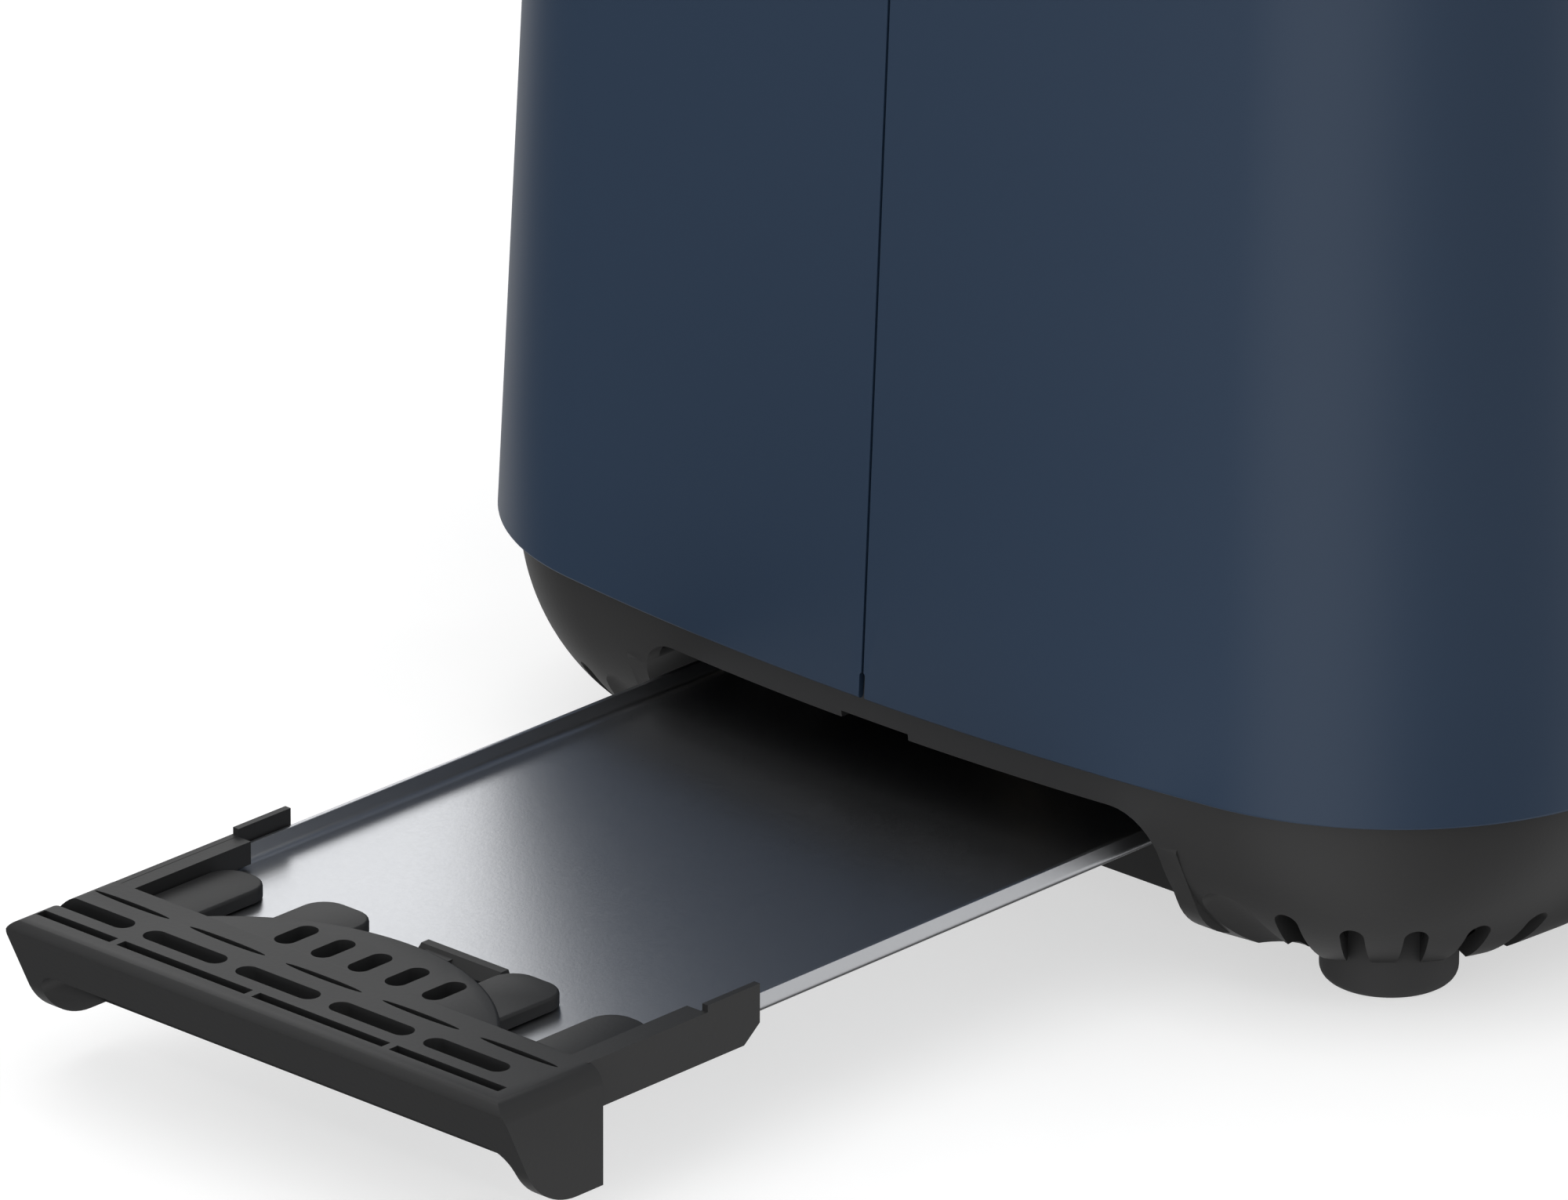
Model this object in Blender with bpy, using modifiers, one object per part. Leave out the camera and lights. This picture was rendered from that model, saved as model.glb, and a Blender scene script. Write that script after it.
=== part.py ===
"""A two-slice pop up toaster, modelled as the separate pieces that it is put together from.

Sizes below are millimetres; MM turns them into metres where a mesh is made. X runs across the
toaster, Y along it from the rear end (crumb tray) to the control end, and Z up from the table.
Every piece is placed about the middle of the body, at heights above the mouldings' datum, and the
body's empty then carries them all: the feet reach DATUM below it, down to the table.
"""

import math

import bmesh
import bpy
from mathutils import Matrix, Vector

MM = 0.001

# ---- the body, seen from above: a long rectangle with bowed ends, bowed sides and round corners
BODY_LENGTH = 300.0
BODY_WIDTH = 187.0
END_RADIUS = 390.0
SIDE_RADIUS = 1500.0
CORNER_RADIUS = 40.0
DRAFT = math.tan(math.radians(2.7))

# ---- heights
SHELL_BOTTOM = 29.0
SHELL_TOP = 171.0
COVER_TOP = 194.0
BASE_BOTTOM = 4.0
DATUM = 1.3
FOOT_TOP = 9.0

# ---- walls
SHELL_WALL = 0.9
BASE_WALL = 2.2
COVER_WALL = 2.2
GAP = 0.3

# ---- the base's bowl: in section an arc that rolls in from under the shell, then a straight chamfer
BOWL_RADIUS = 35.0
BOWL_START = math.asin(0.2045)
BOWL_TURN = math.radians(45.0)
BAND_TOP = 28.6

# ---- arched vents through the bowl's lower edge, as angles round each corner
VENT_ANGLES = (14.0, 32.0, 48.5, 65.0, 82.0)
VENT_SIDE_STEPS = (8.0, 16.0)
VENT_HALF = 1.8
VENT_TOP = 12.6

# ---- the crumb tray, drawn out by TRAY_TRAVEL from where it is pushed home
TRAY_TRAVEL = 115.5
TRAY_PULL = 40.0
HANDLE_FRONT = -BODY_LENGTH / 2 - 109.5
HANDLE_DEPTH = 17.4
HANDLE_HALF = 42.6
HANDLE_TOP = 20.9
HANDLE_HEIGHT = 15.6
PAN_HALF = 39.25
PAN_BOTTOM = 16.65
PAN_LIP = 3.15
PAN_SHEET = 0.6
PAN_START = HANDLE_FRONT + 12.0
PAN_END = -42.0

# ---- the tray's mouth in the base
MOUTH_HALF = 43.8
MOUTH_TOP = 25.7
MOUTH_DEPTH = 25.0

# ---- bread chambers
SLOT_X = 23.5
SLOT_HALF_WIDTH = 15.0
SLOT_START = -88.0
SLOT_END = 72.0
REAR_PLATE_Y = -94.0
FRONT_PLATE_Y = 78.0
CHASSIS_HALF = 58.0

# ---- carriage and controls
CARRIAGE_TRAVEL = 52.0
RACK_UP = 98.0
LEVER_UP = 140.0
GRID_TRAVEL = 4.0
KNOB_Z = 52.0
KNOB_RADIUS = 12.5
BUTTON_Z = 75.0
BUTTON_PITCH = 17.0
BUTTON_TRAVEL = 1.5
CONTROL_REACH = 16.0

# The drawn-out handle and the lever knob are the object's two ends along Y.
BODY_Y = (-HANDLE_FRONT - (BODY_LENGTH / 2 + CONTROL_REACH)) / 2

FOOT_PLACES = {"rear": -116.9, "front": 116.9}
FOOT_X = 59.7
FOOT_RADIUS = 8.8


# ---------------------------------------------------------------- scene and materials

def clear_scene():
    for obj in list(bpy.data.objects):
        bpy.data.objects.remove(obj, do_unlink=True)


def new_collection(name, hidden=False):
    made = bpy.data.collections.new(name)
    bpy.context.scene.collection.children.link(made)
    made.hide_render = hidden
    return made


def new_material(name, colour, roughness, metallic=0.0):
    made = bpy.data.materials.new(name)
    made.use_nodes = True
    made.diffuse_color = (*colour, 1.0)
    shader = made.node_tree.nodes["Principled BSDF"]
    shader.inputs["Base Color"].default_value = (*colour, 1.0)
    shader.inputs["Roughness"].default_value = roughness
    shader.inputs["Metallic"].default_value = metallic
    return made


clear_scene()
TOASTER = new_collection("pop_up_toaster")
CUTTERS = new_collection("cutters", hidden=True)

FINISHES = {
    "painted_shell": new_material("painted_shell", (0.028, 0.045, 0.075), 0.45),
    "base_plastic": new_material("base_plastic", (0.045, 0.045, 0.046), 0.5),
    "trim_plastic": new_material("trim_plastic", (0.05, 0.05, 0.052), 0.45),
    "knob_plastic": new_material("knob_plastic", (0.06, 0.06, 0.062), 0.4),
    "tray_steel": new_material("tray_steel", (0.62, 0.63, 0.65), 0.3, 1.0),
    "bright_steel": new_material("bright_steel", (0.66, 0.66, 0.67), 0.25, 1.0),
    "chassis_steel": new_material("chassis_steel", (0.55, 0.56, 0.57), 0.4, 1.0),
    "grid_wire": new_material("grid_wire", (0.6, 0.6, 0.6), 0.3, 1.0),
    "mica_sheet": new_material("mica_sheet", (0.62, 0.56, 0.44), 0.6),
    "board_green": new_material("board_green", (0.02, 0.16, 0.07), 0.5),
    "coil_copper": new_material("coil_copper", (0.6, 0.27, 0.12), 0.35, 1.0),
    "foot_rubber": new_material("foot_rubber", (0.03, 0.03, 0.03), 0.8),
}


def new_empty(name, place, parent=None):
    made = bpy.data.objects.new(name, None)
    made.empty_display_size = 0.02
    made.location = Vector(place) * MM
    made.parent = parent
    TOASTER.objects.link(made)
    return made


BODY = new_empty("toaster_body", (0.0, BODY_Y, DATUM))


# ---------------------------------------------------------------- shapes

def place_mesh(name, mesh, finish, parent=None, origin=(0.0, 0.0, 0.0)):
    """One piece from a mesh given in body coordinates, with its own origin moved to a chosen point."""
    mesh.transform(Matrix.Translation(-Vector(origin) * MM))
    made = bpy.data.objects.new(name, mesh)
    holder = parent or BODY
    made.parent = holder
    made.location = (Vector(origin) - (holder.location / MM if holder is not BODY else Vector())) * MM
    if finish:
        mesh.materials.append(FINISHES[finish])
        TOASTER.objects.link(made)
    else:
        made.hide_render = True
        made.display_type = "WIRE"
        CUTTERS.objects.link(made)
    return made


def evaluated_mesh(obj):
    """A new mesh from an object with its modifiers or its curve's bevel worked out."""
    graph = bpy.context.evaluated_depsgraph_get()
    return bpy.data.meshes.new_from_object(obj.evaluated_get(graph))


def finish_mesh(bm, smooth_below=30.0):
    bmesh.ops.recalc_face_normals(bm, faces=bm.faces)
    mesh = bpy.data.meshes.new("shape")
    bm.to_mesh(mesh)
    bm.free()
    mesh.shade_smooth()
    mesh.set_sharp_from_angle(angle=math.radians(smooth_below))
    return mesh


def box_mesh(low, high, bevel=0.0, segments=2):
    """A box between two corners, with its edges rounded when a bevel is given."""
    bm = bmesh.new()
    bmesh.ops.create_cube(bm, size=1.0)
    size = [(b - a) * MM for a, b in zip(low, high)]
    middle = [(a + b) / 2 * MM for a, b in zip(low, high)]
    bmesh.ops.scale(bm, vec=size, verts=bm.verts)
    bmesh.ops.translate(bm, vec=middle, verts=bm.verts)
    if bevel:
        bmesh.ops.bevel(
            bm, geom=bm.edges, offset=bevel * MM, segments=segments, profile=0.5, affect="EDGES")
    return finish_mesh(bm)


def rod_mesh(start, end, radius, sides=16, radius_end=None):
    """A round bar, or a cone when its two radii differ, from one point to another."""
    start = Vector(start) * MM
    end = Vector(end) * MM
    bm = bmesh.new()
    bmesh.ops.create_cone(
        bm,
        cap_ends=True,
        segments=sides,
        radius1=radius * MM,
        radius2=(radius if radius_end is None else radius_end) * MM,
        depth=(end - start).length,
    )
    turn = Vector((0, 0, 1)).rotation_difference(end - start).to_matrix().to_4x4()
    bmesh.ops.transform(bm, matrix=Matrix.Translation((start + end) / 2) @ turn, verts=bm.verts)
    return finish_mesh(bm)


def turned_mesh(profile, foot, axis, sides=32):
    """A solid turned from (radius, height) points, given outer side first and top to bottom."""
    bm = bmesh.new()
    rows = [bm.verts.new((r * MM, 0.0, h * MM)) for r, h in profile]
    for a, b in zip(rows, rows[1:]):
        bm.edges.new((a, b))
    mesh = bpy.data.meshes.new("profile")
    bm.to_mesh(mesh)
    bm.free()
    holder = bpy.data.objects.new("profile", mesh)
    bpy.context.scene.collection.objects.link(holder)
    screw = holder.modifiers.new("turn", "SCREW")
    screw.steps = sides
    screw.render_steps = sides
    screw.use_merge_vertices = True
    screw.merge_threshold = 0.00001
    bpy.context.view_layer.update()
    turned = evaluated_mesh(holder)
    bpy.data.objects.remove(holder)
    bm = bmesh.new()
    bm.from_mesh(turned)
    bmesh.ops.remove_doubles(bm, verts=bm.verts, dist=0.00001)
    turn = Vector((0, 0, 1)).rotation_difference(Vector(axis)).to_matrix().to_4x4()
    bmesh.ops.transform(bm, matrix=Matrix.Translation(Vector(foot) * MM) @ turn, verts=bm.verts)
    return finish_mesh(bm)


def prism_mesh(outline, low, high, along="Z"):
    """A flat outline given depth along Z, X or Y: its points are then (x, y), (y, z) or (x, z)."""
    curve = bpy.data.curves.new("outline", "CURVE")
    curve.dimensions = "2D"
    curve.fill_mode = "BOTH"
    curve.extrude = (high - low) / 2 * MM
    spline = curve.splines.new("POLY")
    spline.points.add(len(outline) - 1)
    for point, (u, v) in zip(spline.points, outline):
        point.co = (u * MM, v * MM, 0.0, 1.0)
    spline.use_cyclic_u = True
    holder = bpy.data.objects.new("outline", curve)
    bpy.context.scene.collection.objects.link(holder)
    bpy.context.view_layer.update()
    solid = evaluated_mesh(holder)
    bpy.data.objects.remove(holder)
    turns = {
        "Z": Matrix.Identity(4),
        "X": Matrix(((0, 0, 1, 0), (1, 0, 0, 0), (0, 1, 0, 0), (0, 0, 0, 1))),
        "Y": Matrix(((1, 0, 0, 0), (0, 0, -1, 0), (0, 1, 0, 0), (0, 0, 0, 1))),
    }
    middle = (low + high) / 2 * MM
    shift = {"Z": (0, 0, middle), "X": (middle, 0, 0), "Y": (0, middle, 0)}[along]
    bm = bmesh.new()
    bm.from_mesh(solid)
    bmesh.ops.remove_doubles(bm, verts=bm.verts, dist=0.000001)
    bmesh.ops.transform(bm, matrix=Matrix.Translation(shift) @ turns[along], verts=bm.verts)
    return finish_mesh(bm)


def wire_mesh(routes, radius):
    """Round wires joined where they cross: each route is a list of points for a bevelled curve."""
    joined = None
    for route in routes:
        curve = bpy.data.curves.new("wire", "CURVE")
        curve.dimensions = "3D"
        curve.bevel_depth = radius * MM
        curve.bevel_resolution = 1
        curve.use_fill_caps = True
        spline = curve.splines.new("POLY")
        spline.points.add(len(route) - 1)
        for point, place in zip(spline.points, route):
            point.co = (*(Vector(place) * MM), 1.0)
        holder = bpy.data.objects.new("wire", curve)
        bpy.context.scene.collection.objects.link(holder)
        bpy.context.view_layer.update()
        solid = evaluated_mesh(holder)
        bpy.data.objects.remove(holder)
        bm = bmesh.new()
        bm.from_mesh(solid)
        bmesh.ops.remove_doubles(bm, verts=bm.verts, dist=0.000001)
        mesh = finish_mesh(bm)
        joined = mesh if joined is None else combine(joined, mesh, "UNION")
    return joined


def combine(mesh, other, operation):
    """The exact union, difference or intersection of two meshes, as a new mesh."""
    first = bpy.data.objects.new("first", mesh)
    second = bpy.data.objects.new("second", other)
    for obj in (first, second):
        bpy.context.scene.collection.objects.link(obj)
    step = first.modifiers.new("step", "BOOLEAN")
    step.operation = operation
    step.object = second
    step.solver = "EXACT"
    bpy.context.view_layer.update()
    made = evaluated_mesh(first)
    for obj in (first, second):
        bpy.data.objects.remove(obj)
    return made


def all_of(meshes):
    made = meshes[0]
    for mesh in meshes[1:]:
        made = combine(made, mesh, "UNION")
    return made


def cut(piece, name, mesh, operation="DIFFERENCE"):
    """Keeps the cutter in the cutters' collection and takes it from the piece with a Boolean."""
    cutter = place_mesh("cut_" + name, mesh, None)
    step = piece.modifiers.new(name, "BOOLEAN")
    step.operation = operation
    step.object = cutter
    step.solver = "EXACT"
    return cutter


def rounded_rectangle(half_x, half_y, radius, middle=(0.0, 0.0), steps=6, lower_radius=None):
    """Outline points of a rectangle whose corners are quarter circles; the lower two may differ."""
    points = []
    lower = radius if lower_radius is None else lower_radius
    corners = ((1, 1, 0.0, radius), (-1, 1, 90.0, radius), (-1, -1, 180.0, lower), (1, -1, 270.0, lower))
    for sx, sy, start, r in corners:
        if r <= 0.0:
            points.append((middle[0] + sx * half_x, middle[1] + sy * half_y))
            continue
        for k in range(steps + 1):
            angle = math.radians(start + 90.0 * k / steps)
            points.append((
                middle[0] + sx * (half_x - r) + r * math.cos(angle),
                middle[1] + sy * (half_y - r) + r * math.sin(angle),
            ))
    return points


def body_arcs():
    """Centre, radius and outward angle of each point round a quarter of the body's outline.

    The end arc, corner arc and side arc share a tangent where they meet, so an inset outline keeps
    the same centres and only its radii shrink.
    """
    end_centre = Vector((0.0, -BODY_LENGTH / 2 + END_RADIUS))
    side_centre = Vector((BODY_WIDTH / 2 - SIDE_RADIUS, 0.0))
    reach_end = END_RADIUS - CORNER_RADIUS
    reach_side = SIDE_RADIUS - CORNER_RADIUS
    across = side_centre - end_centre
    apart = across.length
    along = (apart**2 + reach_end**2 - reach_side**2) / (2 * apart)
    off = math.sqrt(reach_end**2 - along**2)
    unit = across / apart
    corner = end_centre + unit * along + Vector((-unit.y, unit.x)) * off
    if corner.x < 0:
        corner = end_centre + unit * along - Vector((-unit.y, unit.x)) * off
    first = math.atan2((corner - end_centre).x, -(corner - end_centre).y)
    second = math.atan2((corner - side_centre).x, -(corner - side_centre).y)
    arcs = []
    for centre, radius, start, stop, steps in (
        (end_centre, END_RADIUS, 0.0, first, 5),
        (corner, CORNER_RADIUS, first, second, 10),
        (side_centre, SIDE_RADIUS, second, math.pi / 2, 5),
    ):
        arcs += [(centre, radius, start + (stop - start) * k / steps) for k in range(steps)]
    arcs.append((side_centre, SIDE_RADIUS, math.pi / 2))
    return arcs


QUARTER = body_arcs()


def body_outline(inset):
    """The body's outline, moved inwards by inset, as (x, y) points that start at the rear's middle."""
    quarter = [
        (c.x + (r - inset) * math.sin(a), c.y - (r - inset) * math.cos(a)) for c, r, a in QUARTER
    ]
    front_right = [(x, -y) for x, y in reversed(quarter[:-1])]
    right = quarter + front_right
    left = [(-x, y) for x, y in reversed(right[1:-1])]
    return right + left


def carried_mesh(profile, ring=False):
    """A section of (inset, z) points carried round the body's outline.

    A ring joins its last section point to its first; otherwise both ends are closed with a flat face.
    """
    bm = bmesh.new()
    rows = []
    for inset, z in profile:
        rows.append([bm.verts.new((x * MM, y * MM, z * MM)) for x, y in body_outline(inset)])
    pairs = list(zip(rows, rows[1:]))
    if ring:
        pairs.append((rows[-1], rows[0]))
    for low, high in pairs:
        for k in range(len(low)):
            n = (k + 1) % len(low)
            bm.faces.new((low[k], low[n], high[n], high[k]))
    if not ring:
        bm.faces.new(rows[0])
        bm.faces.new(rows[-1])
    return finish_mesh(bm)


def draft_inset(z):
    """How far the shell's outer face has leaned in at a height."""
    return (z - SHELL_BOTTOM) * DRAFT


# ---------------------------------------------------------------- shell, cover and base

def make_shell():
    """The painted sheet wrapped round the body: its ends meet in a seam at the middle of the rear."""
    wall = carried_mesh(
        [
            (draft_inset(SHELL_BOTTOM), SHELL_BOTTOM),
            (draft_inset(SHELL_TOP), SHELL_TOP),
            (draft_inset(SHELL_TOP) + SHELL_WALL, SHELL_TOP),
            (draft_inset(SHELL_BOTTOM) + SHELL_WALL, SHELL_BOTTOM),
        ],
        ring=True,
    )
    shell = place_mesh("housing_shell", wall, "painted_shell")
    cut(shell, "rear_seam", box_mesh((-0.22, -160, 20), (0.22, -130, 180)))
    cut(shell, "seam_foot", box_mesh((-0.47, -160, 20), (0.47, -130, SHELL_BOTTOM + 3.6)))
    window = rounded_rectangle(30.0, 56.0, 6.0, (0.0, 96.0))
    cut(shell, "control_window", prism_mesh(window, 125, 160, along="Y"))


def make_seam_strip():
    """The joining strip behind the seam, which shows as a sliver of paint in the seam's foot."""
    back = -BODY_LENGTH / 2 + SHELL_WALL + GAP
    lean = draft_inset(160.0) - draft_inset(38.0)
    near = back + 1.0
    far = back + 1.8
    section = [(near, 38.0), (far, 38.0), (far + lean, 160.0), (near + lean, 160.0)]
    place_mesh("seam_strip", prism_mesh(section, -7.0, 7.0, along="X"), "painted_shell")


def bowl_point(angle, inward=0.0):
    """A point of the bowl's section, at an angle from upright, moved into the wall by inward."""
    inset = BOWL_RADIUS * math.cos(BOWL_START) - (BOWL_RADIUS - inward) * math.cos(angle)
    z = SHELL_BOTTOM + BOWL_RADIUS * math.sin(BOWL_START) - (BOWL_RADIUS - inward) * math.sin(angle)
    return inset, z


def bowl_section(first, bottom, steps, inward=0.0):
    """The bowl's section as points: its arc from one angle to the chamfer, then straight down."""
    points = [bowl_point(first + (BOWL_TURN - first) * k / steps, inward) for k in range(steps + 1)]
    inset, z = points[-1]
    points.append((inset + (z - bottom) / math.tan(BOWL_TURN), bottom))
    return points


def band_angle():
    lift = SHELL_BOTTOM + BOWL_RADIUS * math.sin(BOWL_START) - BAND_TOP
    return math.asin(lift / BOWL_RADIUS)


def within_bowl(mesh):
    """The part of a shape that lies inside the bowl, held back from its outer surface."""
    held_back = 0.6
    outer = bowl_section(band_angle(), BASE_BOTTOM + held_back, 6, held_back)
    return combine(mesh, carried_mesh(outer), "INTERSECT")


def corners():
    """Each corner of the body as (end name, side name, sign along Y, sign along X)."""
    for end, end_sign in (("rear", -1), ("front", 1)):
        for side, sign in (("left", -1), ("right", 1)):
            yield end, side, end_sign, sign


def make_base():
    """The moulded base: a bowl with a floor, the tray's mouth, cheeks beside it, vents and bosses."""
    rim_inset = SHELL_WALL + GAP + 0.5
    outer = bowl_section(band_angle(), BASE_BOTTOM, 7)
    inner = bowl_section(math.radians(20.0), BASE_BOTTOM + BASE_WALL, 4, BASE_WALL)
    profile = list(reversed(inner))
    profile += [(inner[0][0], 36.0), (rim_inset, 36.0), (rim_inset, BAND_TOP), *outer]
    base = place_mesh("base", carried_mesh(profile), "base_plastic")

    back = -BODY_LENGTH / 2 + MOUTH_DEPTH
    cheek = handle_section(-BODY_LENGTH / 2 + 6.0, MOUTH_DEPTH - 6.0 + 0.4)
    scoop_path = {}
    for side, sign in (("left", -1), ("right", 1)):
        low, high = sorted((sign * (MOUTH_HALF - 0.5), sign * (MOUTH_HALF + 3.2)))
        cut(base, f"cheek_{side}", prism_mesh(cheek, low, high, along="X"), "UNION")
        scoop_path[side] = ((sign * 47.3, -140.0, 13.4), (sign * 53.5, -128.2, 3.0))
        backing = rod_mesh(*scoop_path[side], 5.6, 12)
        cut(base, f"scoop_backing_{side}", within_bowl(backing), "UNION")
    cut(base, "recess_wall", box_mesh((-46.5, back, BASE_BOTTOM), (46.5, back + 2.0, 13.6)), "UNION")
    cut(base, "recess_lip", box_mesh((-36.0, back, 12.0), (36.0, back + 2.0, 16.3)), "UNION")
    middle = (0.0, (MOUTH_TOP - 5.0) / 2)
    mouth = rounded_rectangle(MOUTH_HALF, (MOUTH_TOP + 5.0) / 2, 6.5, middle, lower_radius=0)
    cut(base, "tray_mouth", prism_mesh(mouth, -165, back, along="Y"))
    cut(base, "mouth_notch", box_mesh((-3.9, -165, 20), (7.5, -140, MOUTH_TOP + 0.9)))

    for end, side, end_sign, sign in corners():
        y = FOOT_PLACES[end]
        boss = rod_mesh((sign * FOOT_X, y, 1.0), (sign * FOOT_X, y, 12.0), FOOT_RADIUS + 2.0, 24)
        cut(base, f"boss_{end}_{side}", within_bowl(boss), "UNION")
    for end, side, end_sign, sign in corners():
        y = FOOT_PLACES[end]
        x = sign * FOOT_X
        seat = rod_mesh((x, y, -4.0), (x, y, FOOT_TOP + GAP), FOOT_RADIUS + GAP, 24)
        cut(base, f"seat_{end}_{side}", seat)
        bore = rod_mesh((x, y, 0.0), (x, y, 14.0), 2.2, 12)
        cut(base, f"screw_hole_{end}_{side}", bore)
        for k, place in enumerate(vent_places()):
            cut(base, f"vent_{end}_{side}_{k}", vent_cutter(sign, end_sign, *place))
    for side in ("left", "right"):
        cut(base, f"scoop_{side}", rod_mesh(*scoop_path[side], 2.5, 14))
    for x in (-24.0, 0.0, 24.0):
        for y in (-80.0, -30.0, 20.0, 70.0):
            slot = rounded_rectangle(3.0, 18.0, 3.0, (x, y), steps=4)
            cut(base, f"floor_slot_{x:.0f}_{y:.0f}", prism_mesh(slot, 0, 9))
    hole = rod_mesh((-95.0, 60.0, 17.5), (-70.0, 60.0, 17.5), 6.0 + GAP, 20)
    cut(base, "cord_hole", hole)


def vent_places():
    """Where the vents stand in the rear right corner: (x, y, outward angle in degrees)."""
    centre = QUARTER[6][0]
    places = [(centre.x, centre.y, angle) for angle in VENT_ANGLES]
    places += [(centre.x, centre.y + step, 88.0) for step in VENT_SIDE_STEPS]
    return places


def vent_cutter(side, end, x, y, degrees):
    """An arch-topped slot through the bowl's lower edge, pointing outwards, for one of the corners."""
    height = (VENT_TOP + 3.0) / 2
    middle = (0.0, VENT_TOP - height)
    arch = rounded_rectangle(VENT_HALF, height, VENT_HALF, middle, steps=4, lower_radius=0)
    mesh = prism_mesh(arch, 19.0, 40.0, along="Y")
    mesh.transform(Matrix.Rotation(math.pi + math.radians(degrees), 4, "Z"))
    mesh.transform(Matrix.Translation((x * MM, y * MM, 0.0)))
    mesh.transform(Matrix.Diagonal((side, -end, 1.0, 1.0)))
    if side * -end < 0:
        mesh.flip_normals()
    return mesh


def make_top_cover():
    """The moulded shoulder and rim that close the shell's top, round the steel slot plate."""
    start = draft_inset(SHELL_TOP)
    steps = 7
    depth = COVER_TOP - SHELL_TOP - GAP
    outer = []
    inner = []
    for k in range(steps + 1):
        angle = math.radians(4.0 + 80.0 * k / steps)
        outer.append((start + 17.0 * (1 - math.cos(angle)), SHELL_TOP + GAP + depth * math.sin(angle)))
        inner.append((start + COVER_WALL + 16.0 * (1 - math.cos(angle)),
                      SHELL_TOP + GAP + (depth - COVER_WALL) * math.sin(angle)))
    lap = start + SHELL_WALL + 2 * GAP
    profile = list(reversed(inner)) + [(inner[0][0], SHELL_TOP - 6.0), (lap - 0.05, SHELL_TOP - 6.0)]
    profile += [(lap, SHELL_TOP + GAP), *outer]
    cover = place_mesh("top_cover", carried_mesh(profile), "trim_plastic")
    cut(cover, "slot_opening", prism_mesh(rounded_rectangle(43.0, 86.0, 7.0, (0.0, -8.0)), 170, 210))


def make_slot_plate():
    """The bright steel plate on the top, with both bread slots and the short throats under them."""
    low = COVER_TOP + 0.2
    sheet = prism_mesh(rounded_rectangle(47.0, 90.0, 9.0, (0.0, -8.0)), low, low + 1.0)
    plate = place_mesh("slot_plate", sheet, "bright_steel")
    for name, sign in (("left", -1), ("right", 1)):
        middle = (sign * SLOT_X, (SLOT_START + SLOT_END) / 2)
        half = (SLOT_END - SLOT_START) / 2
        throat = rounded_rectangle(SLOT_HALF_WIDTH + 0.7, half + 0.7, 4.7, middle)
        cut(plate, f"throat_{name}", prism_mesh(throat, low - 9.0, low + 0.5), "UNION")
    for name, sign in (("left", -1), ("right", 1)):
        middle = (sign * SLOT_X, (SLOT_START + SLOT_END) / 2)
        half = (SLOT_END - SLOT_START) / 2
        slot = prism_mesh(rounded_rectangle(SLOT_HALF_WIDTH, half, 4.0, middle), low - 12.0, low + 5.0)
        cut(plate, f"slot_{name}", slot)


def make_feet():
    """Four turned rubber feet in the base's bosses, and the screws that hold base and feet."""
    low = -DATUM
    well = 4.4
    bore = 2.3
    foot = [
        (bore, FOOT_TOP), (FOOT_RADIUS, FOOT_TOP), (FOOT_RADIUS, low + 1.8),
        (FOOT_RADIUS - 0.5, low + 0.6), (FOOT_RADIUS - 1.8, low), (well, low),
        (well, low + 2.6), (bore, low + 2.6), (bore, FOOT_TOP),
    ]
    screw = [
        (0.0, 17.0), (1.5, 17.0), (1.5, low + 2.3), (3.6, low + 2.3),
        (3.6, low + 1.1), (2.9, low + 0.5), (0.0, low + 0.5),
    ]
    for end, side, end_sign, sign in corners():
        place = (sign * FOOT_X, FOOT_PLACES[end], 0.0)
        place_mesh(f"foot_{end}_{side}", turned_mesh(foot, place, (0, 0, 1), 24), "foot_rubber")
        place_mesh(f"base_screw_{end}_{side}", turned_mesh(screw, place, (0, 0, 1), 12), "bright_steel")


def make_cord_bushing():
    """The bushing in the base's wall that a mains lead would leave through."""
    profile = [(2.4, 6.5), (3.8, 6.5), (4.8, 4.5), (6.0, 3.8), (6.0, -8.0), (2.4, -8.0), (2.4, 6.5)]
    place_mesh("cord_bushing", turned_mesh(profile, (-86.0, 60.0, 17.5), (-1, 0, 0), 20), "trim_plastic")


# ---------------------------------------------------------------- crumb tray

def handle_section(front, depth):
    """The tray handle seen from its end: a leaning face that rolls round into a lobe underneath."""
    top = HANDLE_TOP
    low = HANDLE_TOP - HANDLE_HEIGHT
    points = [(front + depth, low), (front + depth, top)]
    for k in range(5):
        angle = math.radians(90.0 + 80.0 * k / 4)
        points.append((front + 1.7 + 1.7 * math.cos(angle), top - 1.7 + 1.7 * math.sin(angle)))
    lean = math.radians(23.3)
    lobe = 9.6
    bottom = (front + 12.8, low + lobe)
    for k in range(7):
        angle = math.radians(180.0) + lean + (math.pi / 2 - lean) * k / 6
        points.append((bottom[0] + lobe * math.cos(angle), bottom[1] + lobe * math.sin(angle)))
    return points


def stadium(half_length, half_width, middle, along="x", steps=5):
    """A slot outline with round ends."""
    if along == "x":
        return rounded_rectangle(half_length, half_width, half_width, middle, steps)
    return rounded_rectangle(half_width, half_length, half_width, middle, steps)


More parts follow.
